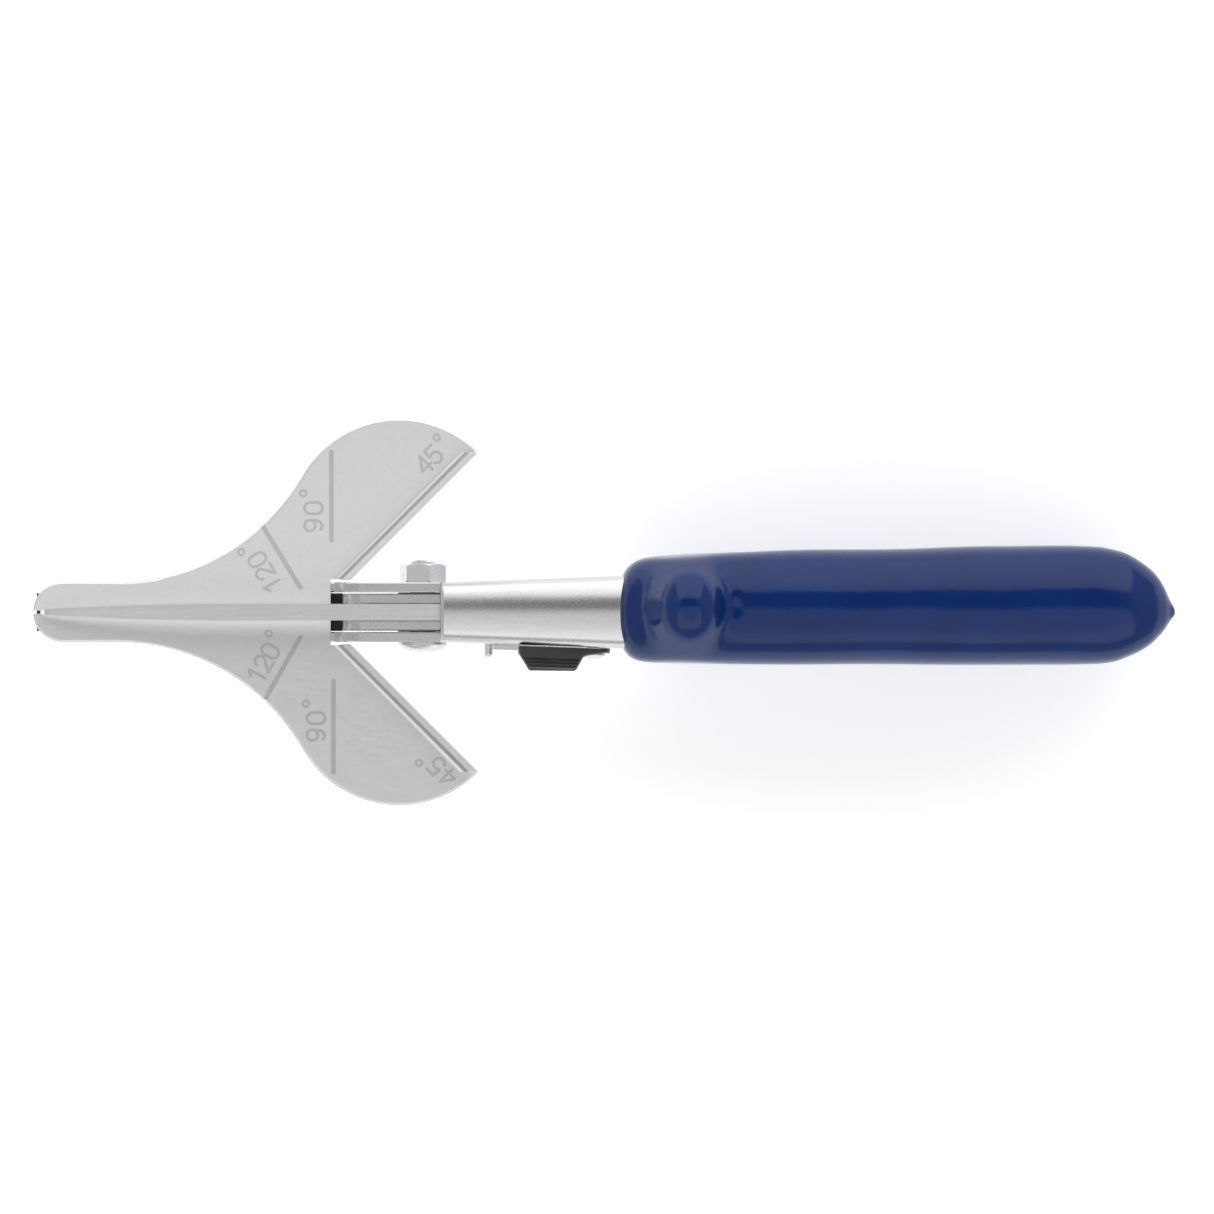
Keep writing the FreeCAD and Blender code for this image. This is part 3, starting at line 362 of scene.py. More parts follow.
def zinc_finish(colours):
    """Bright zinc plate on rolled sheet: satin and even, with faint marks along the rolling, and painted
    shade that darkens the engraved marks and the corners where the fences are bent up.

    The wings' face rises from the slot by a fixed tangent, so a point's height above the face is its
    own height less that rise; the table of painted shade is read by that height."""
    made = Finish("bright_zinc_sheet", Metallic=1.0)
    cloud = made.noise(900, detail=5)
    rolled = made.noise(3200, (0.10, 1, 1))
    grit = made.noise(9000, detail=2)
    plain = made.tint(cloud, colours.zinc, 0.985, 1.015)
    split = made.add("ShaderNodeSeparateXYZ")
    made.link(made.place, split.inputs["Vector"])
    run = made.arithmetic("ABSOLUTE", split.outputs["Y"])
    rise = made.arithmetic("MULTIPLY", run, math.tan(math.radians(WING_RISE)))
    height = made.arithmetic("SUBTRACT", split.outputs["Z"], rise)
    height = made.arithmetic("SUBTRACT", height, TABLE_LEVEL)
    share = made.arithmetic("SUBTRACT", height, PAINTED_SHADE[0][0] * MM)
    share = made.arithmetic("MULTIPLY", share, 1 / PAINTED_SHADE_SPAN)
    # painted shade: this ramp darkens the zinc down in the engraved marks and in the fences' bent corners
    ramp = made.add("ShaderNodeValToRGB")
    stops = ramp.color_ramp.elements
    stops[0].color = stops[1].color = (1, 1, 1, 1)
    for above, grey in PAINTED_SHADE[1:-1]:
        stops.new((above - PAINTED_SHADE[0][0]) * MM / PAINTED_SHADE_SPAN).color = (grey, grey, grey, 1)
    made.link(share, ramp.inputs["Fac"])
    # the zinc's colour times the painted shade
    both = made.add("ShaderNodeMix", data_type="RGBA", blend_type="MULTIPLY")
    both.inputs["Factor"].default_value = 1.0
    # a Mix node's two colour inputs are its seventh and eighth, and its colour output is the third
    made.link(plain, both.inputs[6])
    made.link(ramp.outputs["Color"], both.inputs[7])
    made.link(both.outputs[2], made.shader.inputs["Base Color"])
    made.shine(rolled, 0.36, 0.44)
    made.relief((rolled, 0.000003), (grit, 0.000002))
    return made.material


def chrome_finish(colours):
    """Plate over pressed steel: bright, with soft waves and drawing marks along the handle."""
    made = Finish("chromed_steel", Metallic=1.0)
    waves = made.noise(130, (0.35, 1, 1), detail=2)
    drawn = made.noise(2200, (0.06, 1, 1), detail=4)
    speckle = made.noise(6500, detail=2)
    made.tint(drawn, colours.chrome, 0.965, 1.02)
    made.shine(speckle, 0.22, 0.30)
    made.relief((waves, 0.00006), (drawn, 0.0000018), (speckle, 0.0000012))
    return made.material


def blade_finish(colours):
    """Surface-ground steel: fine scratches along the blade that differ in depth, and a faint oil haze."""
    made = Finish("ground_blade_steel", Metallic=1.0, Anisotropic=0.45)
    ground = made.noise(5200, (0.02, 1, 0.3), detail=3)
    haze = made.noise(180, (0.6, 1, 1))
    made.tint(ground, colours.blade, 0.94, 1.04)
    made.shine(haze, 0.26, 0.36)
    made.relief((ground, 0.000001))
    return made.material


def fastener_finish(colours):
    """Zinc on turned steel: bright, with fine turning marks and handling scuffs."""
    made = Finish("plated_fasteners", Metallic=1.0)
    turned = made.noise(4200, (1, 0.15, 1), detail=2)
    scuff = made.noise(700, detail=4)
    made.tint(scuff, colours.fastener, 0.94, 1.03)
    made.shine(scuff, 0.20, 0.30)
    made.relief((turned, 0.0000008))
    return made.material


# on the pivot washers this black stands in for the shade in the gap between the ears and the cheeks:
# painted shade
def black_finish(colours):
    """Moulded black plastic: a fine spark-eroded grain, polished a little where a thumb rubs it."""
    made = Finish("black_plastic", IOR=1.5)
    grain = made.noise(7500, detail=3)
    worn = made.noise(420, detail=4)
    made.tint(worn, colours.black, 0.85, 1.25)
    made.shine(worn, 0.36, 0.52)
    made.relief((grain, 0.000014))
    return made.material


def spring_finish(colours):
    """Drawn wire, a little darker in the grooves between drawing marks."""
    made = Finish("spring_steel", Metallic=1.0)
    drawn = made.noise(4000, (1, 1, 0.3), detail=3)
    made.tint(drawn, colours.spring, 0.85, 1.06)
    made.shine(drawn, 0.24, 0.36)
    made.relief((drawn, 0.000004))
    return made.material


def vinyl_finish(colours):
    """Dipped vinyl: glossy and deep, with slow waves from dipping and faint dust dulling."""
    made = Finish("blue_dipped_vinyl", IOR=1.46, Specular_IOR_Level=0.38)
    depth = made.noise(95, detail=3)
    dust = made.noise(3000, detail=5)
    peel = made.noise(340, detail=2)
    made.tint(depth, colours.vinyl, 0.88, 1.12)
    made.shine(dust, 0.10, 0.16)
    made.relief((peel, 0.000035))
    return made.material


FINISHES = {
    "bright_zinc_sheet": zinc_finish,
    "chromed_steel": chrome_finish,
    "ground_blade_steel": blade_finish,
    "plated_fasteners": fastener_finish,
    "black_plastic": black_finish,
    "spring_steel": spring_finish,
    "blue_dipped_vinyl": vinyl_finish,
}
MADE = {}


def finish(slot):
    """The material of one of the record's slots, made once."""
    if slot not in MADE:
        MADE[slot] = FINISHES[slot](bpy.context.scene.mitre_shears.colours)
    return MADE[slot]


# --- the handles' channels ----------------------------------------------------------------------

WEB_FRONT, CHANNEL_END = 3.5, 134.0
CROWN_ARC = (WEB_FRONT, 8.7), (60.0, 18.8), (CHANNEL_END, 22.4)
# the ears and rails, a hair inside the ends of the dowels that go through them
EAR_INSIDE, EAR_OUTSIDE, EAR_TOP, EAR_FOOT = 3.85, 5.82, 5.2, -5.5
RAIL_FRONT, EAR_FRONT, RAIL_TOP = -68.0, -17.2, -2.56
# the upper channel: half its width at the ears, and how it opens out behind them
UPPER_HALF, FLARE, FLARE_START, FLARE_LENGTH = 5.85, 0.0338, 5.0, 33.0
LOWER_HALF_FRONT, LOWER_HALF_REAR, LOWER_SHOULDER = 3.37, 6.87, 2.3
CHEEK_INSIDE, CHEEK_OUTSIDE, CHEEK_FRONT, CHEEK_TOP, CHEEK_FOOT = 1.6, 3.6, -15.7, 5.0, -8.0


def rolled_lip(x, lip):
    """How far the web's front edge is rolled down at x: a quarter circle of the lip's radius."""
    short = 1 - np.clip((x - WEB_FRONT) / lip, 0, 1)
    return lip * (1 - np.sqrt(1 - short**2))


def channel_loops(x, half, top, foot, sheet, crown, shoulder, edge, up):
    """Loops of a channel's U-shaped section, one at each x; up is -1 where its crown is underneath.

    The outside goes up one wall, round its shoulder, over the crowned web and down the other wall.  At
    a lean from the vertical, the crown's point is its radius times (sine, cosine) of the lean below the
    top; past the lean whose sine is (half - shoulder) / (crown - shoulder), the shoulder's smaller radius
    takes over.  The inside is the same with both radii less the sheet's thickness, and the feet are
    broken by the edge."""
    steps = np.linspace(-2, 2, 61)
    share, side = np.abs(steps), np.sign(steps)
    flare = np.arcsin((half - shoulder) / (crown - shoulder))[:, None]
    lean = np.where(share <= 1, flare * share, flare + (math.pi / 2 - flare) * (share - 1))
    on_web = share <= 1
    start_y = np.where(on_web, 0, (crown - shoulder) * np.sin(flare))
    start_z = top[:, None] - crown + np.where(on_web, 0, (crown - shoulder) * np.cos(flare))

    def face(depth):
        reach = np.where(on_web, crown, shoulder) - depth
        return np.stack([side * (start_y + reach * np.sin(lean)), start_z + reach * np.cos(lean)], -1)

    def feet(*offsets):
        """Foot corners at (in from the outside, up from the foot), on the side of the offsets' sign."""
        return np.stack(
            [np.stack([s * (half - inward), foot + lift], -1) for s, inward, lift in offsets], axis=1
        )

    outer = [feet((-1, edge, 0), (-1, 0, edge)), face(0), feet((1, 0, edge), (1, edge, 0))]
    inner = [
        feet((1, sheet - edge, 0), (1, sheet, edge)),
        face(sheet)[:, ::-1],
        feet((-1, sheet, edge), (-1, sheet - edge, 0)),
    ]
    section = np.concatenate(outer + inner, axis=1) * (1, up)
    along = np.broadcast_to(x[:, None, None], (*section.shape[:2], 1))
    return np.concatenate([along, section], axis=-1)


def plate_loops(x, near, far, low, high, edge):
    """Loops of an upright plate between y = near and y = far: at each x a rectangle from low to high,
    with its four corners cut off by the edge."""
    inset = np.array([(1, 0), (0, 1), (0, -1), (1, 0), (-1, 0), (0, -1), (0, 1), (-1, 0)]) * edge
    corner_y = np.array([near, near, near, near, far, far, far, far])
    is_high = np.array([0, 0, 1, 1, 1, 1, 0, 0])
    y = np.broadcast_to(corner_y + inset[:, 0], (len(x), 8))
    z = low[:, None] * (1 - is_high) + high[:, None] * is_high + inset[:, 1]
    return np.stack([np.broadcast_to(x[:, None], y.shape), y, z], axis=-1)


def both_plates(x, near, far, low, high, edge):
    """A plate on the left and its mirror image on the right."""
    return [tube(plate_loops(x, near, far, low, high, edge) * (1, side, 1)) for side in (1, -1)]


def upper_channel(sizes, up_body):
    """The upper handle: its channel, and the two ears with the rails that they carry forward.

    An ear's top is level, then falls on an arc to its front edge.  The rail's underside is straight
    and then rises on an arc to the ear's."""
    x = stations((WEB_FRONT, 4.4, 12), (4.6, 24.0, 40), (24.6, 60.0, 50), (61.0, CHANNEL_END, 60))
    half = UPPER_HALF + FLARE * np.clip(x - FLARE_START, 0, FLARE_LENGTH)
    top = arc_height(x, *CROWN_ARC) - rolled_lip(x, sizes.lip / MM)
    foot = np.where(
        x < 24.0,
        np.interp(x, [14.0, 24.0], [EAR_FOOT, 0.7]),
        arc_height(x, (24.0, 0.7), (72.0, 8.8), (CHANNEL_END, 10.6)),
    )
    sheet, edge = sizes.upper_sheet / MM, sizes.edge / MM
    shell = tube(channel_loops(x, half, top, foot, sheet, sizes.crown / MM, sizes.shoulder / MM, edge, 1))

    on_rail = 60
    ear = stations((RAIL_FRONT, EAR_FRONT, on_rail), (EAR_FRONT, -9.0, 40), (-8.6, WEB_FRONT + 0.2, 12))
    front = arc_height(np.clip(ear, EAR_FRONT, -9.0), (EAR_FRONT, 0.5), (-15.0, 3.22), (-9.0, EAR_TOP))
    high = np.where(ear < -9.0, front, EAR_TOP)
    high[:on_rail] = RAIL_TOP
    rail_foot = np.interp(ear, [RAIL_FRONT, -30.0], [-6.4, -7.6])
    turn = arc_height(np.clip(ear, -30.0, -12.0), (-30.0, -7.6), (-20.0, -7.0), (-12.0, EAR_FOOT))
    low = np.select([ear < -30.0, ear < -12.0], [rail_foot, turn], EAR_FOOT)
    plates = both_plates(ear, EAR_INSIDE, EAR_OUTSIDE, low, high, edge)
    made = piece("upper_handle_pressing", [shell, *plates], up_body, "chromed_steel")
    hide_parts("upper_handle_channel")
    return made


def lower_channel(sizes, low_body):
    """The lower handle: its channel, crowned underneath, and the two cheeks that clamp the blade.

    A cheek's top falls on an arc to its front, and its underside rises on another."""
    x = stations((WEB_FRONT, 32.0, 60), (32.6, CHANNEL_END, 80))
    half = np.interp(x, [17.0, 32.0], [LOWER_HALF_FRONT, LOWER_HALF_REAR])
    foot = np.where(
        x < 20.5,
        np.interp(x, [12.0, 20.5], [-5.0, 2.2]),
        arc_height(x, (20.5, 2.2), (72.0, 8.2), (CHANNEL_END, 10.0)),
    )
    sheet, edge = sizes.lower_sheet / MM, sizes.edge / MM
    top = arc_height(x, *CROWN_ARC)
    shell = tube(channel_loops(x, half, top, foot, sheet, sizes.crown / MM, LOWER_SHOULDER, edge, -1))

    cheek = stations((CHEEK_FRONT, -14.0, 16), (-13.8, -10.0, 12), (-9.6, WEB_FRONT + 0.2, 12))
    tip = (CHEEK_FRONT, -1.0)
    upper = arc_height(np.clip(cheek, CHEEK_FRONT, -10.0), tip, (-14.3, 3.2), (-10.0, CHEEK_TOP))
    under = arc_height(np.clip(cheek, CHEEK_FRONT, -8.0), tip, (-12.4, -6.0), (-8.0, CHEEK_FOOT))
    high = np.maximum(np.where(cheek < -10.0, upper, CHEEK_TOP), -0.6)
    low = np.minimum(np.where(cheek < -8.0, under, CHEEK_FOOT), -1.2)
    plates = both_plates(cheek, CHEEK_INSIDE, CHEEK_OUTSIDE, low, high, edge)
    made = piece("lower_handle_pressing", [shell, *plates], low_body, "chromed_steel")
    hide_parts("lower_handle_channel")
    return made


# --- the grips ----------------------------------------------------------------------------------

# how far the grip reaches to each side, as (x, left, right)
GRIP_PLAN = (
    (38.2, 10.4, 10.2), (44.0, 10.75, 9.8), (52.0, 11.3, 9.95), (64.0, 11.7, 10.1), (76.0, 12.1, 10.1),
    (93.0, 12.3, 10.15), (110.0, 12.8, 10.2), (122.0, 12.87, 10.14), (130.3, 12.6, 9.95),
    (133.8, 12.0, 9.5), (136.1, 11.3, 8.7), (138.5, 9.95, 7.64), (140.9, 8.15, 6.1), (142.1, 6.85, 4.95),
    (143.2, 5.1, 3.7), (143.9, 3.6, 2.65), (144.6, 2.0, 1.55), (145.1, 1.15, 0.95),
)
# half its height, as (x, half height)
GRIP_PROFILE = (
    (38.2, 8.6), (47.0, 9.2), (64.0, 9.6), (90.0, 10.0), (122.0, 10.0), (131.0, 9.2), (136.0, 8.1),
    (140.6, 6.2), (143.2, 3.7), (144.5, 1.7), (145.1, 1.0),
)
GRIP_FRONT, GRIP_END = 38.1, 145.39
# the section's superellipse power, and the powers of the front end's rounding in plan and in height
SECTION_POWER, PLAN_POWER, HEIGHT_POWER = 2.2, 3.4, 6.0
NUB_CAP = 0.45
# the grip's middle comes up from the front to this height, by this much, over this run
MIDDLE_REAR, MIDDLE_RISE, MIDDLE_RUN, MIDDLE_FRONT = 16.9, 8.2, 28.0, 38.4
HORN_SPOT = (51.7, 0.9)
HORN_TIP = 28.72
HORN_SLOPE = math.radians(60.0)
HORN_NARROWING = 0.85
# the valley's middle along the grip, and its half widths along and across
VALLEY_X, VALLEY_LONG, VALLEY_WIDE = 60.6, 1.3, 2.4
# the horn and the valley only shape the outer side: from this far over the middle, and how softly
OUTER_FROM, OUTER_SOFT = 2.5, 0.7
# how slowly the dipping waves run along the grip, and how they wind round it
WAVE_LONG, WAVE_WIND = 6.3, 17.0


def grip(name, node, body, sizes, up):
    """A dipped grip, with its finger horn; up is -1 for the lower one.

    Round each station goes a superellipse, as wide to each side as the plan says and as tall as the
    profile; blunt() rounds the front end in both, and a short cap closes the drip nub.  The middle
    comes up along an exponential curve.  The horn is a post with a ball's tip, narrower along the grip,
    whose height at a distance from its middle is the ball's down to a set slope and a straight line
    below.  Grip and horn meet in the smooth maximum of their heights: half their sum plus half the root
    of (difference squared plus fillet squared).  A soft valley lies behind the horn."""
    share = np.linspace(0, 1, 360)
    x = GRIP_FRONT + (GRIP_END - GRIP_FRONT) * (1 - np.cos(math.pi * share)) / 2
    plan_x, *sides = zip(*GRIP_PLAN)
    left, right = (smooth(x, plan_x, side)[:, None] for side in sides)
    along = (x - GRIP_FRONT) / (sizes.nose / MM)
    nub = blunt((GRIP_END - x) / NUB_CAP, 2)
    tall = (smooth(x, *zip(*GRIP_PROFILE)) * blunt(along, HEIGHT_POWER) * nub)[:, None]
    centre = (MIDDLE_REAR - MIDDLE_RISE * np.exp(-(x - MIDDLE_FRONT) / MIDDLE_RUN))[:, None]
    angle = np.linspace(0, 2 * math.pi, 176, endpoint=False)
    power = 2 / SECTION_POWER
    round_y = np.sign(np.cos(angle)) * np.abs(np.cos(angle)) ** power
    round_z = np.sign(np.sin(angle)) * np.abs(np.sin(angle)) ** power
    wide = np.where(round_y > 0, left, right) * (blunt(along, PLAN_POWER) * nub)[:, None]
    ripple = np.sin(x / WAVE_LONG)[:, None] * np.sin(2 * angle + x[:, None] / WAVE_WIND)
    ripple = sizes.ripple / MM * ripple * nub[:, None]
    y = (wide + ripple) * round_y
    z = centre + (tall + ripple) * round_z

    far = np.hypot((x[:, None] - HORN_SPOT[0]) / HORN_NARROWING, y - HORN_SPOT[1])
    outside = 1 / (1 + np.exp(-(z - centre - OUTER_FROM) / OUTER_SOFT))
    behind, aside = (x[:, None] - VALLEY_X) / VALLEY_LONG, (y - HORN_SPOT[1]) / VALLEY_WIDE
    valley = np.exp(-(behind**2) - aside**2)
    z = z - sizes.dip / MM * valley * outside
    ball = sizes.horn / MM
    rim = ball * math.sin(HORN_SLOPE)
    post = HORN_TIP - ball + np.sqrt(ball**2 - np.minimum(far, rim) ** 2)
    post = post - np.maximum(far - rim, 0) * math.tan(HORN_SLOPE)
    joined = (z + post + np.sqrt((z - post) ** 2 + (sizes.fillet / MM) ** 2)) / 2
    z = z + (joined - z) * outside
    rows = np.stack([np.broadcast_to(x[:, None], y.shape), y, z * up], axis=-1)
    made = piece(name, [tube(rows)], body, "blue_dipped_vinyl", sharp=60.0)
    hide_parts(node)
    return made


# --- thumb piece and spring ---------------------------------------------------------------------

# how far the thumb piece stands out from the lever, as (along the lever, out), in its own axes
THUMB_OUTLINE = (
    (-14.5, 1.7), (-14.2, 2.0), (-12.4, 4.75), (-12.0, 4.95), (-3.5, 4.75), (-3.1, 4.5), (-1.8, 2.0),
    (-1.2, 1.75), (3.0, 0.95),
)
THUMB_REAR, THUMB_FRONT = -14.5, 3.0
THUMB_INSIDE, THUMB_MIDDLE, THUMB_HALF = 0.25, 1.4, 2.9
THUMB_END_ROUND, THUMB_FALL, THUMB_DEPTH = 0.8, 0.30, 5.0
# the ribs begin this far out, and lie between these two places along the lever
RIBS_FROM, RIBS_REAR, RIBS_FRONT = 2.3, -13.6, -2.2
THINNEST = 0.02
THUMB_PLACE = (33.2, -6.803, 6.0)
THUMB_TURN = math.radians(-1.936)


def thumb_piece(sizes):
    """The lock's black thumb piece: a low block with a smooth back and a ribbed, falling front.

    Outwards, the half height is the root of 1 less the share to the tenth power, times a parabola that
    falls slowly; from a set distance out, ribs go in and out as a raised cosine on both faces.  The
    outline along the lever says how far out each station reaches, and blunt() rounds the two ends."""
    x = stations((THUMB_REAR, -11.9, 34), (-11.8, -3.6, 30), (-3.5, -1.1, 30), (-1.0, THUMB_FRONT, 30))
    out = np.interp(x, *zip(*THUMB_OUTLINE))[:, None]
    share = np.sin(np.linspace(0, math.pi / 2, 90))
    away = THUMB_INSIDE + (out - THUMB_INSIDE) * share
    half = THUMB_HALF * (1 - THUMB_FALL * (away / THUMB_DEPTH) ** 2)
    half = half * np.sqrt(np.clip(1 - share**10, 0, 1))
    for from_end in (THUMB_FRONT - x, x - THUMB_REAR):
        half = half * blunt(from_end / THUMB_END_ROUND, 2)[:, None]
    half = np.maximum(half, THINNEST)
    rib = sizes.rib / MM * (1 - np.cos(2 * math.pi * (away - RIBS_FROM) / (sizes.pitch / MM))) / 2
    ribbed = (away > RIBS_FROM) & (x[:, None] > RIBS_REAR) & (x[:, None] < RIBS_FRONT)
    half = np.maximum(half - np.where(ribbed, rib, 0), THINNEST)
    along = np.broadcast_to(x[:, None], away.shape)
    over, under = (np.stack([along, -away, THUMB_MIDDLE + up * half], axis=-1) for up in (1, -1))
    rows = np.concatenate([over, under[:, ::-1]], axis=1)
    cos, sin = math.cos(THUMB_TURN), math.sin(THUMB_TURN)
    turned = rows @ np.array([[cos, sin, 0], [-sin, cos, 0], [0, 0, 1]]) + THUMB_PLACE
    made = piece("thumb_piece", [tube(turned)], "lock_lever", "black_plastic")
    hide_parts("lock_thumb_cap")
    return made


def spring_coil(sizes):
    """The opening spring: a round wire along a helix, whose first and last turns lie nearly flat.

    Height goes as the share of the turns less half the sine of one full wave over two pi, which flattens
    both ends; round the line, the wire's circle lies in the helix's own normal plane."""
    low, high = (to_pivot(corner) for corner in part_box("opening_spring"))
    wire = sizes.wire / MM / 2
    centre = (low + high) / 2
    radius = (high[0] - low[0]) / 2 - wire
    share = np.linspace(0, 1, sizes.turns * 40)
    turn = share * sizes.turns * 2 * math.pi
    rise = share - 0.5 * np.sin(2 * math.pi * share) / (2 * math.pi)
    height = low[2] + wire + (high[2] - low[2] - 2 * wire) * rise
    line = np.stack(
        [centre[0] + radius * np.cos(turn), centre[1] + radius * np.sin(turn), height], axis=-1
    )
    ahead = np.gradient(line, axis=0)
    ahead /= np.linalg.norm(ahead, axis=1, keepdims=True)
    outward = np.stack([np.cos(turn), np.sin(turn), np.zeros_like(turn)], axis=-1)
    across = np.cross(ahead, outward)
    angle = np.linspace(0, 2 * math.pi, 14, endpoint=False)
    ring = np.cos(angle)[None, :, None] * outward[:, None] + np.sin(angle)[None, :, None] * across[:, None]
    made = piece("opening_spring_coil", [tube(line[:, None] + wire * ring)], None, "spring_steel")
    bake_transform(made)
    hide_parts("opening_spring")
    return made


# --- operators ----------------------------------------------------------------------------------


class MITRE_OT_finishes(bpy.types.Operator):
    """Gives every CAD part its finish"""

    bl_idname = "mitre_shears.finishes"
    bl_label = "Finishes of the kept parts"

    def execute(self, context):
        for node, obj in frame["nodes"].items():
            material = finish(NODE_SLOTS[node])
            obj.data.materials.clear()
            obj.data.materials.append(material)
        return {"FINISHED"}


class MITRE_OT_channels(bpy.types.Operator):
    """Makes the two pressed steel handles"""

    bl_idname = "mitre_shears.channels"
    bl_label = "Handle pressings"

    def execute(self, context):
        sizes = context.scene.mitre_shears.channels
        upper_channel(sizes, "upper_handle")
        lower_channel(sizes, "root")
        return {"FINISHED"}


class MITRE_OT_grips(bpy.types.Operator):
    """Makes the two dipped grips with their finger horns"""

    bl_idname = "mitre_shears.grips"
    bl_label = "Dipped grips"

    def execute(self, context):
        sizes = context.scene.mitre_shears.grips
        grip("upper_dipped_grip", "upper_grip", "upper_handle", sizes, 1)
        grip("lower_dipped_grip", "lower_grip", "root", sizes, -1)
        return {"FINISHED"}


class MITRE_OT_thumb(bpy.types.Operator):
    """Makes the ribbed thumb piece of the lock"""

    bl_idname = "mitre_shears.thumb"
    bl_label = "Thumb piece"

    def execute(self, context):
        thumb_piece(context.scene.mitre_shears.thumb)
        return {"FINISHED"}


class MITRE_OT_spring(bpy.types.Operator):
    """Makes the coil spring that opens the handles"""

    bl_idname = "mitre_shears.spring"
    bl_label = "Opening spring"

    def execute(self, context):
        spring_coil(context.scene.mitre_shears.spring)
        return {"FINISHED"}


PANEL_REACH, PANEL_LENGTH = 1.5, 2.6
LEFT_SPAN, RIGHT_SPAN = (25.0, 89.0), (-62.0, 3.0)
# the walls' light up to the first sine of elevation, and the ceiling's from the second
WALLS, CEILING = (0.72, 0.52), (0.88, 0.09)
SEEN_GREY = 0.85
FLOOR_REACH = 3.0
SENSOR = 36.0


def panel_light(name, first, last, radiance):
    """A soft panel that spans two angles from the vertical, in degrees towards +Y, about the tool.

    Its power is pi times radiance times area, and it is turned to face the tool."""
    tilt = math.radians((first + last) / 2)
    across = 2 * PANEL_REACH * math.tan(math.radians(last - first) / 2)
    data = bpy.data.lights.new(name, "AREA")
    data.shape = "RECTANGLE"
    data.size, data.size_y = PANEL_LENGTH, across
    data.energy = math.pi * radiance * PANEL_LENGTH * across
    light = bpy.data.objects.new(name, data)
    light.location = (0, PANEL_REACH * math.sin(tilt), PANEL_REACH * math.cos(tilt))
    light.rotation_euler = (-tilt, 0, 0)
    light.visible_camera = False
    bpy.context.scene.collection.objects.link(light)


def room_light():
    """Pale walls all round, and a dark ceiling between the panels; the camera sees plain pale grey."""
    world = bpy.data.worlds.new("studio")
    bpy.context.scene.world = world
    world.use_nodes = True
    nodes, links = world.node_tree.nodes, world.node_tree.links
    nodes.clear()
    place = nodes.new("ShaderNodeTexCoord")
    split = nodes.new("ShaderNodeSeparateXYZ")
    ramp = nodes.new("ShaderNodeValToRGB")
    for element, (at, grey) in zip(ramp.color_ramp.elements, (WALLS, CEILING)):
        element.position = at
        element.color = (grey, grey, grey, 1)
    walls, plain = nodes.new("ShaderNodeBackground"), nodes.new("ShaderNodeBackground")
    plain.inputs["Color"].default_value = (SEEN_GREY, SEEN_GREY, SEEN_GREY, 1)
    path, choice = nodes.new("ShaderNodeLightPath"), nodes.new("ShaderNodeMixShader")
    output = nodes.new("ShaderNodeOutputWorld")
    for source, target in (
        (place.outputs["Generated"], split.inputs["Vector"]),
        (split.outputs["Z"], ramp.inputs["Fac"]),
        (ramp.outputs["Color"], walls.inputs["Color"]),
        (path.outputs["Is Camera Ray"], choice.inputs["Fac"]),
        (walls.outputs["Background"], choice.inputs[1]),
        (plain.outputs["Background"], choice.inputs[2]),
        (choice.outputs["Shader"], output.inputs["Surface"]),
    ):
        links.new(source, target)


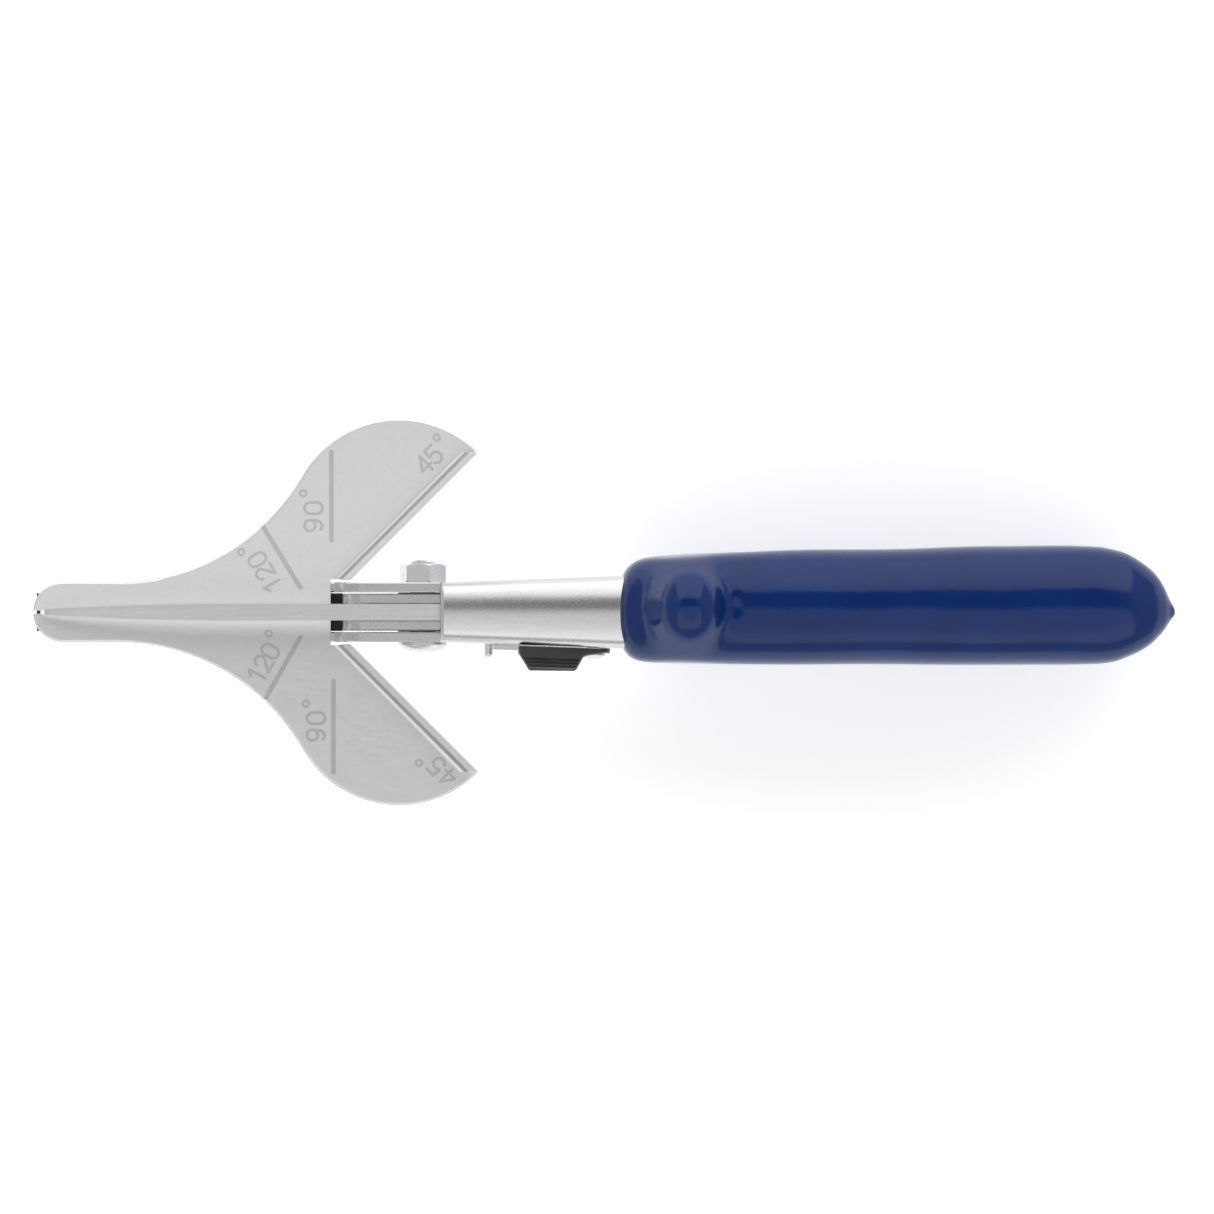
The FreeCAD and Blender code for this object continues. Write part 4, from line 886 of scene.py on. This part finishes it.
def floor(colour_of_floor, glow):
    """A wide pale floor at the tool's lowest point: matt, and lit evenly from below like a light table."""
    level = CAD_BOX[0][2]
    side = np.linspace(-FLOOR_REACH, FLOOR_REACH, 13)
    x, y = np.meshgrid(side, side, indexing="ij")
    points = np.stack([x, y, np.full_like(x, level)], axis=-1).reshape(-1, 3)
    index = np.arange(side.size**2).reshape(side.size, side.size)
    quads = np.stack([index[:-1, :-1], index[1:, :-1], index[1:, 1:], index[:-1, 1:]], axis=-1)
    mesh = bpy.data.meshes.new("studio_floor")
    mesh.from_pydata(points.tolist(), [], quads.reshape(-1, 4).tolist())
    ground = bpy.data.objects.new("studio_floor", mesh)
    bpy.context.scene.collection.objects.link(ground)
    paper = Finish("studio_paper", Roughness=0.9, Emission_Color=(1, 1, 1, 1), Emission_Strength=glow)
    paper.tint(paper.noise(3, detail=2), colour_of_floor, 0.99, 1.01)
    mesh.materials.append(paper.material)


class MITRE_OT_stage(bpy.types.Operator):
    """Sets up the floor, the soft panel lights and the camera that looks straight down"""

    bl_idname = "mitre_shears.stage"
    bl_label = "Stage"

    def execute(self, context):
        sizes = context.scene.mitre_shears.stage
        context.scene.view_settings.view_transform = "Standard"
        floor(sizes.floor, sizes.glow)
        room_light()
        panel_light("left_panel", *LEFT_SPAN, sizes.left)
        panel_light("right_panel", *RIGHT_SPAN, sizes.right)
        data = bpy.data.cameras.new("camera")
        data.sensor_width = SENSOR
        data.lens = SENSOR * sizes.camera / sizes.width
        data.clip_start, data.clip_end = 0.05, 20.0
        camera = bpy.data.objects.new("camera", data)
        camera.location = (sizes.view_x, sizes.view_y, TABLE_LEVEL + sizes.camera)
        context.scene.collection.objects.link(camera)
        context.scene.camera = camera
        return {"FINISHED"}


OPERATORS = (MITRE_OT_stage, MITRE_OT_finishes, MITRE_OT_channels, MITRE_OT_grips, MITRE_OT_thumb,
             MITRE_OT_spring)


class MITRE_PT_panel(bpy.types.Panel):
    """Buttons for every step, in order"""

    bl_idname = "MITRE_PT_panel"
    bl_label = "Mitre Shears"
    bl_space_type = "VIEW_3D"
    bl_region_type = "UI"
    bl_category = "Mitre Shears"

    def draw(self, context):
        for step in OPERATORS:
            self.layout.operator(step.bl_idname)


CLASSES = (
    ChannelSizes, GripSizes, ThumbSizes, SpringSizes, Colours, StageSizes, Settings,
    *OPERATORS, MITRE_PT_panel,
)


def register():
    for each in CLASSES:
        bpy.utils.register_class(each)
    bpy.types.Scene.mitre_shears = PointerProperty(type=Settings)


def unregister():
    del bpy.types.Scene.mitre_shears
    for each in reversed(CLASSES):
        bpy.utils.unregister_class(each)


def main():
    register()
    bpy.ops.mitre_shears.stage()
    bpy.ops.mitre_shears.finishes()
    bpy.ops.mitre_shears.channels()
    bpy.ops.mitre_shears.grips()
    bpy.ops.mitre_shears.thumb()
    bpy.ops.mitre_shears.spring()


if __name__ == "__main__":
    main()
